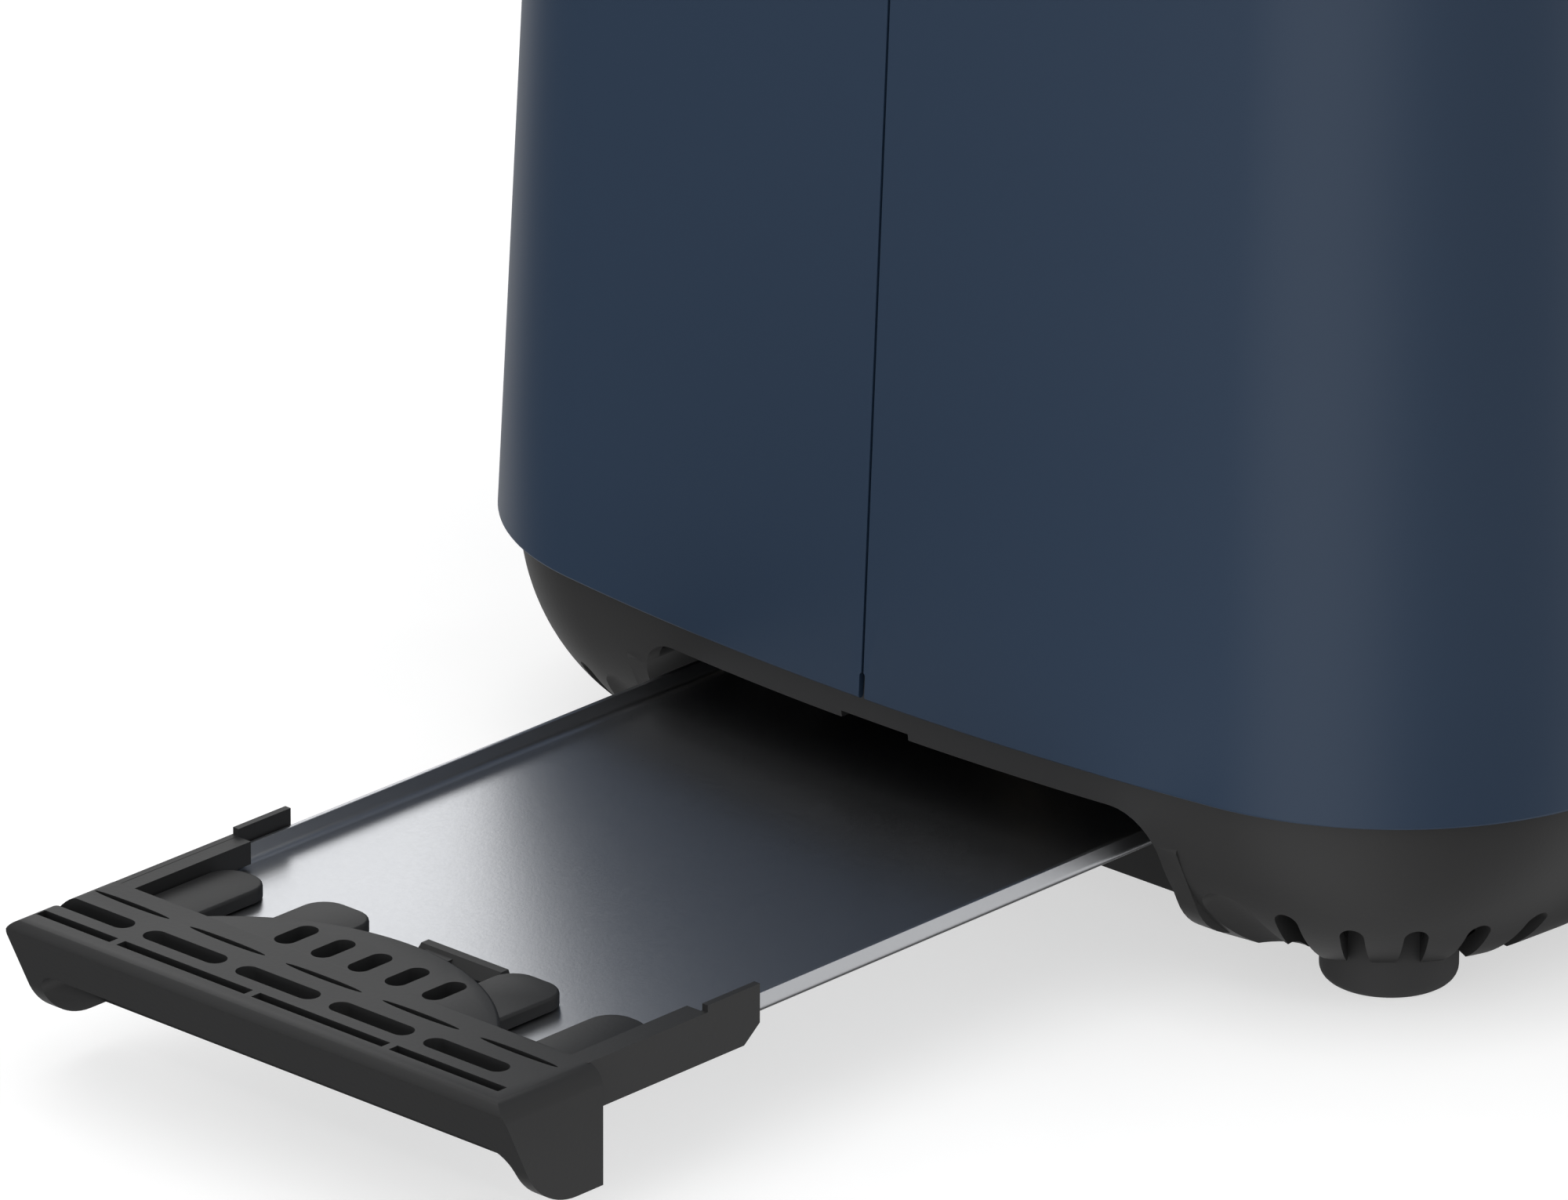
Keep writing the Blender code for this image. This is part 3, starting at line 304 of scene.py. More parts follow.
def turned_mesh(profile, foot, axis=(0, 0, 1), sides=48, flutes=0, flute_depth=0.0, fluted=(0.0, 0.0)):
    """A profile of (radius, height) points turned about an axis through foot.

    Point (i, j) is at radius r_i and angle 2 pi j / sides. Where the height is between the two
    fluted limits, the radius is shortened by flute_depth times (1 - cos(flutes angle)) / 2.
    """
    profile = np.asarray(profile, float)
    angle = np.linspace(0.0, 2 * math.pi, sides, endpoint=False)
    radius = np.repeat(profile[:, :1], sides, axis=1)
    height = np.repeat(profile[:, 1:], sides, axis=1)
    if flutes:
        gripped = (height > fluted[0]) & (height < fluted[1])
        radius = radius - gripped * flute_depth * (1 - np.cos(flutes * angle)) / 2
    points = np.stack([radius * np.cos(angle), radius * np.sin(angle), height], axis=-1)
    turn = Vector((0, 0, 1)).rotation_difference(Vector(axis)).to_matrix()
    points = points @ np.array(turn).T + np.array(foot, float)
    return grid_mesh(points, close_columns=True)


def rod_mesh(start, end, radius, sides=24):
    """A round bar between two points, turned from its rectangle."""
    start = np.array(start, float)
    axis = np.array(end, float) - start
    length = np.linalg.norm(axis)
    return turned_mesh([(0, 0), (radius, 0), (radius, length), (0, length)], start, axis / length, sides)


def tube_mesh(path, radius, sides=8):
    """A round wire along a path: rings of points in the plane across each step of the path."""
    path = np.asarray(path, float)
    tangent = np.gradient(path, axis=0)
    tangent /= np.linalg.norm(tangent, axis=1, keepdims=True)
    guide = np.where(np.abs(tangent[:, 2:]) > 0.9, (1.0, 0.0, 0.0), (0.0, 0.0, 1.0))
    first = np.cross(tangent, guide)
    first /= np.linalg.norm(first, axis=1, keepdims=True)
    second = np.cross(tangent, first)
    angle = np.linspace(0.0, 2 * math.pi, sides, endpoint=False)[None, :, None]
    points = path[:, None] + radius * (np.cos(angle) * first[:, None] + np.sin(angle) * second[:, None])
    return grid_mesh(points, close_columns=True, caps=True)


def joined(*meshes):
    """Several meshes as one, each keeping its own closed skin."""
    bm = bmesh.new()
    for mesh in meshes:
        bm.from_mesh(mesh)
    made = bpy.data.meshes.new("joined")
    bm.to_mesh(made)
    bm.free()
    return made


def combined(mesh, other, operation):
    """The exact union, difference or intersection of two meshes."""
    first = bpy.data.objects.new("first", mesh)
    second = bpy.data.objects.new("second", other)
    for obj in (first, second):
        bpy.context.scene.collection.objects.link(obj)
    step = first.modifiers.new("step", "BOOLEAN")
    step.operation = operation
    step.object = second
    step.solver = "EXACT"
    graph = bpy.context.evaluated_depsgraph_get()
    made = bpy.data.meshes.new_from_object(first.evaluated_get(graph))
    for obj in (first, second):
        bpy.data.objects.remove(obj)
    return made


def cut_away(mesh, *cutters):
    return combined(mesh, joined(*cutters), "DIFFERENCE")


def added(mesh, *others):
    for other in others:
        mesh = combined(mesh, other, "UNION")
    return mesh


def piece(name, mesh, finish, body, stands_for=(), soft_edge=0.0, sharp=35.0):
    """Places a mesh given about the middle of the body, and says what it is and what it moves with."""
    mesh.transform(Matrix.Translation(Vector(PLACE * MM)) @ Matrix.Scale(MM, 4))
    mesh.materials.clear()
    mesh.materials.append(FINISHES[finish])
    mesh.shade_smooth()
    mesh.set_sharp_from_angle(angle=math.radians(sharp))
    made = bpy.data.objects.new(name, mesh)
    bpy.context.scene.collection.objects.link(made)
    if soft_edge:
        bevel = made.modifiers.new("soft_edges", "BEVEL")
        bevel.width = soft_edge * MM
        bevel.segments = 2
        bevel.limit_method = "ANGLE"
        bevel.angle_limit = math.radians(38.0)
        bevel.harden_normals = True
    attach(made, body)
    if stands_for:
        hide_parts(*stands_for)
    return made


# ---------------------------------------------------------------- shader groups

def new_group(name, inputs, outputs):
    """A shader node group with named sockets, and its input and output nodes."""
    group = bpy.data.node_groups.new(name, "ShaderNodeTree")
    for label, kind, value in inputs:
        socket = group.interface.new_socket(label, in_out="INPUT", socket_type=kind)
        if value is not None:
            socket.default_value = value
    for label, kind in outputs:
        group.interface.new_socket(label, in_out="OUTPUT", socket_type=kind)
    return group, group.nodes.new("NodeGroupInput"), group.nodes.new("NodeGroupOutput")


def chain(tree, kind, inputs=(), **settings):
    """Adds a node, sets it up and feeds its sockets from values or from other sockets."""
    node = tree.nodes.new(kind)
    for key, value in settings.items():
        setattr(node, key, value)
    for socket, value in inputs:
        target = node.inputs[socket]
        if isinstance(value, bpy.types.NodeSocket):
            tree.links.new(value, target)
        else:
            target.default_value = value
    return node


def end_grain(group, given, made, height, drift):
    """Ends a grain group: one noise is its height, and another, times Gloss Change, shifts its gloss."""
    shift = chain(group, "ShaderNodeMath", [(0, drift), (1, 0.5)], operation="SUBTRACT")
    swing = chain(group, "ShaderNodeMath", [(0, shift.outputs[0]), (1, given.outputs["Gloss Change"])],
                  operation="MULTIPLY")
    total = chain(group, "ShaderNodeMath", [(0, swing.outputs[0]), (1, given.outputs["Roughness"])])
    group.links.new(height, made.inputs["Height"])
    group.links.new(total.outputs[0], made.inputs["Roughness"])
    return group


def moulded_grain_group():
    """Spark-eroded plastic: two sizes of noise give a height, and the coarse one mottles the gloss."""
    inputs = [("Grain Size", "NodeSocketFloat", 900.0), ("Gloss Change", "NodeSocketFloat", 0.06),
              ("Roughness", "NodeSocketFloat", 0.5)]
    group, given, made = new_group(
        "moulded_grain", inputs, [("Height", "NodeSocketFloat"), ("Roughness", "NodeSocketFloat")])
    place = chain(group, "ShaderNodeTexCoord").outputs["Object"]
    fine = chain(group, "ShaderNodeTexNoise", [("Vector", place), ("Scale", given.outputs["Grain Size"]),
                                                ("Detail", 2.0), ("Roughness", 0.55)])
    broad = chain(group, "ShaderNodeTexNoise", [("Vector", place), ("Scale", 38.0), ("Detail", 3.0)])
    return end_grain(group, given, made, fine.outputs["Fac"], broad.outputs["Fac"])


def brushed_grain_group():
    """Rolled or brushed sheet: noise stretched along the rolling direction, for height and gloss."""
    inputs = [("Stretch", "NodeSocketVector", (2200.0, 60.0, 2200.0)), ("Roughness", "NodeSocketFloat", 0.3),
              ("Gloss Change", "NodeSocketFloat", 0.12)]
    group, given, made = new_group(
        "brushed_grain", inputs, [("Height", "NodeSocketFloat"), ("Roughness", "NodeSocketFloat")])
    place = chain(group, "ShaderNodeTexCoord").outputs["Object"]
    scaled = chain(group, "ShaderNodeVectorMath", [(0, place), (1, given.outputs["Stretch"])],
                   operation="MULTIPLY")
    streak = chain(group, "ShaderNodeTexNoise", [("Vector", scaled.outputs[0]), ("Scale", 1.0),
                                                  ("Detail", 3.0), ("Roughness", 0.6)])
    return end_grain(group, given, made, streak.outputs["Fac"], streak.outputs["Fac"])


def shade_change_group():
    """A slow drift of a colour: broad noise mixes it with a second shade of itself."""
    inputs = [("Colour", "NodeSocketColor", (0.5, 0.5, 0.5, 1.0)),
              ("Other", "NodeSocketColor", (0.4, 0.4, 0.4, 1.0)),
              ("Size", "NodeSocketFloat", 20.0)]
    group, given, made = new_group("shade_change", inputs, [("Colour", "NodeSocketColor")])
    place = chain(group, "ShaderNodeTexCoord").outputs["Object"]
    drift = chain(group, "ShaderNodeTexNoise", [("Vector", place), ("Scale", given.outputs["Size"]),
                                                 ("Detail", 4.0), ("Roughness", 0.55)])
    mixed = chain(group, "ShaderNodeMix", [("Factor", drift.outputs["Fac"])], data_type="RGBA")
    group.links.new(given.outputs["Colour"], mixed.inputs["A"])
    group.links.new(given.outputs["Other"], mixed.inputs["B"])
    group.links.new(mixed.outputs["Result"], made.inputs["Colour"])
    return group


MOULDED_GRAIN = moulded_grain_group()
BRUSHED_GRAIN = brushed_grain_group()
SHADE_CHANGE = shade_change_group()


def use_group(tree, group, **values):
    node = tree.nodes.new("ShaderNodeGroup")
    node.node_tree = group
    for key, value in values.items():
        node.inputs[key.replace("_", " ")].default_value = value
    return node


def new_finish(name, grain, grain_values, colour, other, size, bump, distance, **sockets):
    """A material from a Principled shader, a grain group for its gloss and bump, and a drifting colour."""
    made = bpy.data.materials.new(name)
    made.use_nodes = True
    tree = made.node_tree
    shader = tree.nodes["Principled BSDF"]
    for key, value in sockets.items():
        shader.inputs[key.replace("_", " ")].default_value = value
    drift = use_group(tree, SHADE_CHANGE, Colour=(*colour, 1.0), Other=(*other, 1.0), Size=size)
    tree.links.new(drift.outputs["Colour"], shader.inputs["Base Color"])
    texture = use_group(tree, grain, **grain_values)
    tree.links.new(texture.outputs["Roughness"], shader.inputs["Roughness"])
    relief = chain(tree, "ShaderNodeBump", [("Strength", bump), ("Distance", distance),
                                             ("Height", texture.outputs["Height"])])
    tree.links.new(relief.outputs["Normal"], shader.inputs["Normal"])
    return made


def plastic(name, colour, roughness, grain=1500.0, bump=0.25, specular=0.4):
    darker = tuple(c * 0.88 for c in colour)
    values = {"Grain_Size": grain, "Roughness": roughness, "Gloss_Change": 0.08}
    return new_finish(name, MOULDED_GRAIN, values, colour, darker, 26.0, bump, 0.00006,
                      Specular_IOR_Level=specular)


def steel(name, colour, roughness, stretch, bump=0.12, change=0.1):
    darker = tuple(c * 0.93 for c in colour)
    values = {"Stretch": stretch, "Roughness": roughness, "Gloss_Change": change}
    return new_finish(name, BRUSHED_GRAIN, values, colour, darker, 14.0, bump, 0.00004, Metallic=1.0)


def make_finishes():
    """Every material, by the finish it gives."""
    paint = new_finish(
        "navy_paint", MOULDED_GRAIN, {"Grain_Size": 2600.0, "Roughness": 0.42, "Gloss_Change": 0.03},
        (0.0168, 0.0340, 0.0650), (0.0155, 0.0320, 0.0620), 9.0, 0.05, 0.00003, Specular_IOR_Level=0.4)
    mica = plastic("mica", (0.60, 0.53, 0.41), 0.6, 260.0, 0.5)
    board = plastic("circuit_board", (0.015, 0.13, 0.055), 0.35, 420.0, 0.3)
    rubber = plastic("rubber", (0.036, 0.036, 0.0365), 0.72, 900.0, 0.5, 0.3)
    return {
        "paint": paint,
        "base": plastic("base_moulding", (0.0275, 0.0275, 0.0278), 0.5, specular=0.32),
        "handle": plastic("handle_moulding", (0.0185, 0.0187, 0.0192), 0.48, specular=0.3),
        "trim": plastic("trim_moulding", (0.034, 0.034, 0.036), 0.42),
        "knob": plastic("knob_moulding", (0.05, 0.05, 0.052), 0.38, 1900.0, 0.18),
        "rubber": rubber,
        "tray": steel("tray_sheet", (0.50, 0.51, 0.53), 0.30, (2300.0, 1900.0, 2300.0), 0.24, 0.1),
        "bright": steel("brushed_sheet", (0.62, 0.62, 0.63), 0.24, (2600.0, 40.0, 2600.0)),
        "zinc": steel("zinc_sheet", (0.52, 0.53, 0.55), 0.38, (300.0, 260.0, 300.0), 0.2, 0.2),
        "reflector": steel("aluminised_sheet", (0.66, 0.66, 0.67), 0.3, (420.0, 90.0, 900.0), 0.2),
        "screw": steel("screw_steel", (0.48, 0.48, 0.50), 0.3, (1800.0, 1800.0, 400.0)),
        "wire": steel("plated_wire", (0.60, 0.60, 0.62), 0.2, (900.0, 900.0, 300.0), 0.1),
        "mica": mica,
        "ribbon": steel("heating_ribbon", (0.42, 0.38, 0.34), 0.35, (900.0, 120.0, 900.0)),
        "board": board,
        "copper": steel("copper_winding", (0.62, 0.27, 0.11), 0.3, (300.0, 300.0, 3300.0), 0.8, 0.2),
        "marks": plastic("dial_marks", (0.50, 0.50, 0.50), 0.5, 1200.0, 0.1),
    }


FINISHES = make_finishes()


# ---------------------------------------------------------------- shell, base and feet

def make_shell():
    """The painted sheet: its section is carried round the body, with a rolled hem at its lower edge.

    The hem is the half circle between the two faces, below their straight part. A thin sliver at
    the rear is cut for the seam, with a wider slot at its foot, and a window for the controls.
    """
    hem = SHELL_WALL / 2
    a = np.linspace(0.0, math.pi, 9)
    low = SHELL_BOTTOM + hem
    rolled = np.stack([draft_inset(low) + hem - hem * np.cos(a), low - hem * np.sin(a)], axis=1)
    heights = np.linspace(low, SHELL_TOP, 9)[1:]
    outer = np.stack([draft_inset(heights), heights], axis=1)[::-1]
    inner = np.stack([draft_inset(heights) + SHELL_WALL, heights], axis=1)
    wall = carried_mesh(np.concatenate([outer, rolled, inner]), ring=True)
    rear = -BODY_LENGTH / 2
    seam = box_mesh((-0.2, rear - 4, 20), (0.2, rear + 12, SHELL_TOP + 6))
    foot = stadium(2.4, 0.47, (0.0, SHELL_BOTTOM + 1.2), "y")
    slot = slab_mesh(foot, rear - 5, rear + 13, "Y")
    window = slab_mesh(rounded_rectangle(30.0, 56.0, 6.0, (0.0, PANEL_Z)), 125, 160, "Y")
    wall = cut_away(wall, seam)
    wall = cut_away(wall, slot, window)
    piece("shell", wall, "paint", "housing", ["housing_shell"], sharp=40.0)


def bowl_section(high, bottom, steps, inward=0.0):
    """The bowl's section between two heights, moved inwards: part of an upright quarter ellipse.

    At the angle a it lies BOWL_REACH (1 - cos a) in from its top and BOWL_DROP sin a below it.
    """
    across = BOWL_REACH - inward
    down = BOWL_DROP - inward
    a = np.linspace(math.asin((BAND_TOP - high) / down), math.asin((BAND_TOP - bottom) / down), steps)
    return np.stack([BOWL_INSET + BOWL_REACH - across * np.cos(a), BAND_TOP - down * np.sin(a)], axis=1)


def handle_profile(front, depth, steps=10):
    """The handle's end view: a leaning face, with a small rim on top and a round lobe underneath."""
    rim = 1.7
    lean = math.radians(23.3)
    lobe = 9.6
    a = np.radians(np.linspace(90.0, 170.0, steps))
    top = np.stack([front + rim + rim * np.cos(a), HANDLE_TOP - rim + rim * np.sin(a)], axis=1)
    b = np.linspace(math.pi + lean, 1.5 * math.pi, steps)
    under = np.stack([front + 12.8 + lobe * np.cos(b), HANDLE_LOW + lobe + lobe * np.sin(b)], axis=1)
    back = [[front + depth, HANDLE_LOW], [front + depth, HANDLE_TOP]]
    return np.concatenate([back, top, under])


def corner_frames():
    """The four corners as (sign along X, sign along Y)."""
    return [(sx, sy) for sy in (-1, 1) for sx in (-1, 1)]


def vent_mesh(sx, sy, place, degrees, lift=0.0):
    """An arch-topped slot pointing outwards from a place, made for one corner and mirrored to others.

    Its top is raised by twice the lift.
    """
    arch = rounded_rectangle(VENT_HALF, 7.8 + lift, VENT_HALF, (0.0, 4.2 + lift), lower_radius=0)
    mesh = slab_mesh(arch, 19.0, 40.0, "Y")
    mesh.transform(Matrix.Rotation(math.pi + math.radians(degrees), 4, "Z"))
    mesh.transform(Matrix.Translation((place[0], place[1], 0.0)))
    mesh.transform(Matrix.Diagonal((sx, -sy, 1.0, 1.0)))
    return turned_out(mesh)


def make_base():
    """The moulded base: the bowl's section carried round the body, then what is added and cut.

    Added are the cheeks beside the tray's mouth, the walls at its back, and the bosses over the feet.
    Cut are the mouth, the foot seats, the slots underneath, the ball-ended scoops and the vents.
    """
    outer = bowl_section(BAND_TOP, BASE_BOTTOM, 24)
    inner = bowl_section(BAND_TOP - 1.0, BASE_BOTTOM + BASE_WALL, 8, BASE_WALL)
    lip = [[inner[0, 0], 36.0], [BOWL_INSET, 36.0]]
    base = carried_mesh(np.concatenate([inner[::-1], lip, outer]))

    rear = -BODY_LENGTH / 2
    back = rear + MOUTH_DEPTH
    held_back = carried_mesh(bowl_section(BAND_TOP - 0.5, BASE_BOTTOM + 0.6, 12, 0.6))
    a = np.linspace(0.0, math.pi / 2, 12)
    tip = SCOOP_RADIUS * np.stack([np.sin(a), -np.cos(a)], axis=1)
    finger = np.concatenate([tip, [[SCOOP_RADIUS, 16.0], [0.0, 16.0]]])
    scoops = []
    for sign in (-1, 1):
        low, high = sorted((sign * (MOUTH_HALF - 0.5), sign * (MOUTH_HALF + 3.2)))
        cheek = slab_mesh(handle_profile(rear + 6.8, MOUTH_DEPTH - 6.4), low, high, "X")
        base = combined(base, cheek, "UNION")
        ends = (sign * 49.0, rear + 10.0, 13.4), (sign * 54.5, rear + 21.8, 3.0)
        backing = combined(rod_mesh(*ends, 6.4), held_back.copy(), "INTERSECT")
        base = combined(base, backing, "UNION")
        scoops.append(turned_mesh(finger, (sign * 51.8, rear + 9.9, 9.6), (sign * 1.8, 9.3, -8.1), sides=40))
    base = added(base, box_mesh((-46.5, back, BASE_BOTTOM), (46.5, back + 2.0, 13.6)),
                 box_mesh((-36.0, back, 12.0), (36.0, back + 2.0, 16.3)),
                 box_mesh((-47.5, back + 0.3, 12.0), (-41.4, back + 2.3, 27.0)),
                 box_mesh((41.4, back + 0.3, 12.0), (47.5, back + 2.3, 27.0)),
                 box_mesh((-42.0, back + 0.6, 22.4), (-30.0, back + 2.6, 26.6)),
                 box_mesh((30.0, back + 0.6, 22.4), (42.0, back + 2.6, 26.6)))
    middle = (0.0, (MOUTH_TOP - 5.0) / 2)
    mouth = rounded_rectangle(MOUTH_HALF, (MOUTH_TOP + 5.0) / 2, 6.5, middle, lower_radius=0)
    base = cut_away(base, slab_mesh(mouth, rear - 15, back, "Y"))
    base = cut_away(base, box_mesh((-6.3, rear - 15, 20), (5.1, rear + 10, MOUTH_TOP + 0.9)))

    seats = []
    vents = []
    for sx, sy in corner_frames():
        x, y = sx * FOOT_X, sy * FOOT_Y
        boss = combined(rod_mesh((x, y, 1.0), (x, y, 12.0), FOOT_RADIUS + 2.0), held_back.copy(), "INTERSECT")
        base = combined(base, boss, "UNION")
        seats.append(rod_mesh((x, y, -4.0), (x, y, 9.3), FOOT_RADIUS + GAP, 48))
        vents += [vent_mesh(sx, sy, CORNER, angle, max(0.0, 0.06 * (30.0 - angle))) for angle in VENT_ANGLES]
        vents += [vent_mesh(sx, sy, (CORNER[0], CORNER[1] + step), 88.0) for step in VENT_SIDE_STEPS]
    slots = [
        slab_mesh(rounded_rectangle(3.0, 18.0, 3.0, (x, y)), 0, 9)
        for x in (-24.0, 0.0, 24.0) for y in (-80.0, -30.0, 20.0, 70.0)
    ]
    base = cut_away(base, *seats, *slots)
    base = cut_away(base, *scoops)
    for group in (vents[0::3], vents[1::3], vents[2::3]):
        base = cut_away(base, *group)
    base = cut_away(base, rod_mesh((-95.0, CORD_Y, CORD_Z), (-70.0, CORD_Y, CORD_Z), 6.3, 32))
    piece("base_bowl", base, "base", "housing", ["base"], soft_edge=0.25, sharp=32.0)


def make_feet():
    """Turned rubber feet with a rolled edge, and their screws with a cross recess."""
    low = -DATUM
    edge = 1.8
    a = np.linspace(0.0, math.pi / 2, 8)
    rolled = np.stack([FOOT_RADIUS - edge + edge * np.cos(a), low + edge - edge * np.sin(a)], axis=1)
    profile = np.concatenate([
        [[2.3, 9.0], [FOOT_RADIUS, 9.0], [FOOT_RADIUS, 2.7]],
        rolled,
        [[4.4, low], [4.4, low + 2.6], [2.3, low + 2.6], [2.3, 9.0]],
    ])
    screw = [(0.0, 14.0), (1.5, 14.0), (1.5, low + 2.4), (3.6, low + 2.4), (3.6, low + 1.3), (3.3, low + 0.8),
             (2.6, low + 0.5), (0.0, low + 0.45)]
    for sx, sy in corner_frames():
        end = "front" if sy > 0 else "rear"
        side = "right" if sx > 0 else "left"
        place = (sx * FOOT_X, sy * FOOT_Y, 0.0)
        piece(f"rubber_foot_{end}_{side}", turned_mesh(profile, place, sides=64), "rubber", "housing",
              [f"foot_{end}_{side}"], sharp=50.0)
        x, y, _ = place
        head = turned_mesh(screw, place, sides=32)
        cross = [box_mesh((x - 1.9, y - 0.35, low - 1), (x + 1.9, y + 0.35, low + 1.4)),
                 box_mesh((x - 0.35, y - 1.9, low - 1), (x + 0.35, y + 1.9, low + 1.3))]
        head = cut_away(cut_away(head, cross[0]), cross[1])
        piece(f"foot_screw_{end}_{side}", head, "screw", "housing",
              [f"base_screw_{end}_{side}"], sharp=30.0)


# ---------------------------------------------------------------- the crumb tray

def make_tray_handle():
    """The tray's pull: its end view carried across, hollowed, slotted, with clips and a stop disc."""
    front = HANDLE_FRONT
    top = HANDLE_TOP
    rear = front + HANDLE_DEPTH
    inner = HANDLE_HALF - 2.2
    solid = slab_mesh(handle_profile(front, HANDLE_DEPTH, 14), -HANDLE_HALF, HANDLE_HALF, "X")
    face = rounded_rectangle(HANDLE_HALF + 0.05, 11.0, 3.0, (0.0, top - 10.95), 10, 0)
    solid = combined(solid, slab_mesh(face, front - 3, rear + 3, "Y"), "INTERSECT")
    recess = rounded_rectangle(inner, 10.0, 3.5, (0.0, top - 17.6), 8, 0)
    solid = cut_away(solid, slab_mesh(recess, front - 4, rear - 2.0, "Y"))
    solid = cut_away(solid, box_mesh((1.0 - inner, front + 5.2, -8.0), (inner - 1.0, rear - 2.0, top - 2.2)))

    a = np.radians(np.linspace(41.0, 139.0, 49))
    bulge = np.stack([0.2 + 34.0 * np.cos(a), rear - 22.8 + 34.0 * np.sin(a)], axis=1)
    bulge[:, 1] = np.maximum(bulge[:, 1], rear - 0.6)
    pieces = [slab_mesh(bulge, top - 2.0, top, "Z", 0.0, 0.5)]
    for sign in (-1, 1):
        clip = np.array([(37.2, top - 0.03), (39.8, top - 0.03), (39.8, 20.1), (38.35, 20.1), (38.35, 17.8),
                         (37.2, 17.8)])
        arm = np.array([(rear - 0.5, 14.4), (rear + 27.2, 14.4), (rear + 30.0, 16.6), (rear + 30.0, 21.8),
                        (rear + 20.7, 21.8), (rear + 20.7, top), (rear - 0.5, top)])
        pieces.append(slab_mesh(arm, *sorted((sign * 39.55, sign * 40.5)), "X"))
        pieces.append(slab_mesh(clip * (sign, 1), rear - 0.5, rear + 20.5, "Y"))
        for low, high, reach in ((28.6, 36.8, 16.0), (11.2, 21.2, 17.0)):
            middle = (sign * (low + high) / 2, rear + reach / 2 - 1.0)
            paddle = rounded_rectangle((high - low) / 2, reach / 2 + 1.0, 3.6, middle)
            pieces.append(slab_mesh(paddle, 17.55, 19.3, "Z", 0.0, 0.4))
    hook = np.array([(rear + 13.9, 17.6), (rear + 17.2, 17.6), (rear + 16.7, 19.0), (rear + 15.4, 19.0)])
    pieces.append(slab_mesh(hook, -2.8, 10.8, "X"))
    pieces.append(box_mesh((-1.5, rear + 6.0, 17.6), (3.0, rear + 15.0, 18.6)))
    solid = added(solid, *pieces)

    slots = []
    for k in range(-2, 3):
        for outline in (
            stadium(6.7, 1.55, (-3.8 + 15.95 * k, front + 8.7)),
            lens(6.5, 0.5, (-0.8 + 16.5 * k, front + 13.6)),
            stadium(3.3, 1.5, (0.1 + 6.3 * k, rear + 3.4), "y"),
        ):
            slots.append(slab_mesh(outline, top - 4.0, top + 2.0))
    ribs = (-41.0, -27.0, -3.8, 19.5, 39.0)
    for start, stop in zip(ribs, ribs[1:]):
        slots.append(box_mesh((start + 0.6, front + 3.4, top - 1.6), (stop - 0.6, front + 5.0, top + 2.0)))
    solid = cut_away(solid, *slots)
    piece("tray_handle", solid, "handle", "crumb_tray", ["crumb_tray_handle"],
          soft_edge=0.22, sharp=32.0)


def make_tray_pan():
    """The steel pan: a folded section, with round bends and bare edges, carried along the tray."""
    start = HANDLE_FRONT + HANDLE_DEPTH + GAP
    bend = 1.5
    top = PAN_BOTTOM + PAN_LIP
    a = np.linspace(math.pi, 1.5 * math.pi, 9)

    def skin(radius):
        x = bend - PAN_HALF + radius * np.cos(a)
        z = PAN_BOTTOM + bend + radius * np.sin(a)
        left = np.concatenate([[[x[0], top - 0.1]], np.stack([x, z], axis=1)])
        return np.concatenate([left, left[::-1] * (-1, 1)])

    section = np.concatenate([skin(bend), skin(bend - PAN_SHEET)[::-1]])
    middle = PAN_SHEET / 2 - PAN_HALF
    section = np.insert(section, len(section) // 2, [[-middle, top]], axis=0)
    section = np.concatenate([section, [[middle, top]]])
    pan = slab_mesh(section, start, PAN_END, "Y")
    end = box_mesh((-PAN_HALF + 0.3, PAN_END - PAN_SHEET, PAN_BOTTOM + 0.4), (PAN_HALF - 0.3, PAN_END, top))
    piece("tray_pan", joined(pan, end), "tray", "crumb_tray", ["crumb_tray_pan"], sharp=40.0)


# ---------------------------------------------------------------- the top

def make_top_cover():
    """The shoulder: a quarter ellipse of 17 by 22.7 mm carried round the body, with its inner wall."""
    start = draft_inset(SHELL_TOP)
    depth = COVER_TOP - SHELL_TOP - GAP
    wall = 2.2
    a = np.radians(np.linspace(4.0, 90.0, 26))
    outer = np.stack([start + 17.0 * (1 - np.cos(a)), SHELL_TOP + GAP + depth * np.sin(a) - 0.1], axis=1)
    b = np.radians(np.linspace(4.0, 84.0, 10))
    inner = np.stack([start + wall + 16.0 * (1 - np.cos(b)),
                      SHELL_TOP + GAP + (depth - wall) * np.sin(b)], axis=1)
    lap = start + SHELL_WALL + 2 * GAP
    skirt = [[inner[0, 0], SHELL_TOP - 6.0], [lap - 0.05, SHELL_TOP - 6.0], [lap, SHELL_TOP + GAP]]
    cover = carried_mesh(np.concatenate([inner[::-1], skirt, outer]))
    opening = slab_mesh(rounded_rectangle(43.0, 86.0, 7.0, (0.0, SLOT_Y)), 170, 210)
    piece("shoulder", cut_away(cover, opening), "trim", "housing", ["top_cover"], sharp=40.0)


def make_slot_plate():
    """The steel plate on top: a slab with a rolled rim, and two slots with walls that turn down."""
    low = COVER_TOP + 0.2
    plate = slab_mesh(rounded_rectangle(47.0, 90.0, 9.0, (0.0, SLOT_Y), 12), low, low + 1.0, "Z", 0.0, 0.6)
    slots = []
    for sign in (-1, 1):
        middle = (sign * SLOT_X, SLOT_Y)
        throat = rounded_rectangle(15.7, 80.7, 4.7, middle)
        plate = combined(plate, slab_mesh(throat, low - 9.0, low + 0.5), "UNION")
        slots.append(slab_mesh(rounded_rectangle(15.0, 80.0, 4.0, middle), low - 12.0, low + 5.0))
    plate = cut_away(plate, *slots)
    piece("top_plate", plate, "bright", "housing", ["slot_plate"], soft_edge=0.3, sharp=32.0)


# ---------------------------------------------------------------- the controls

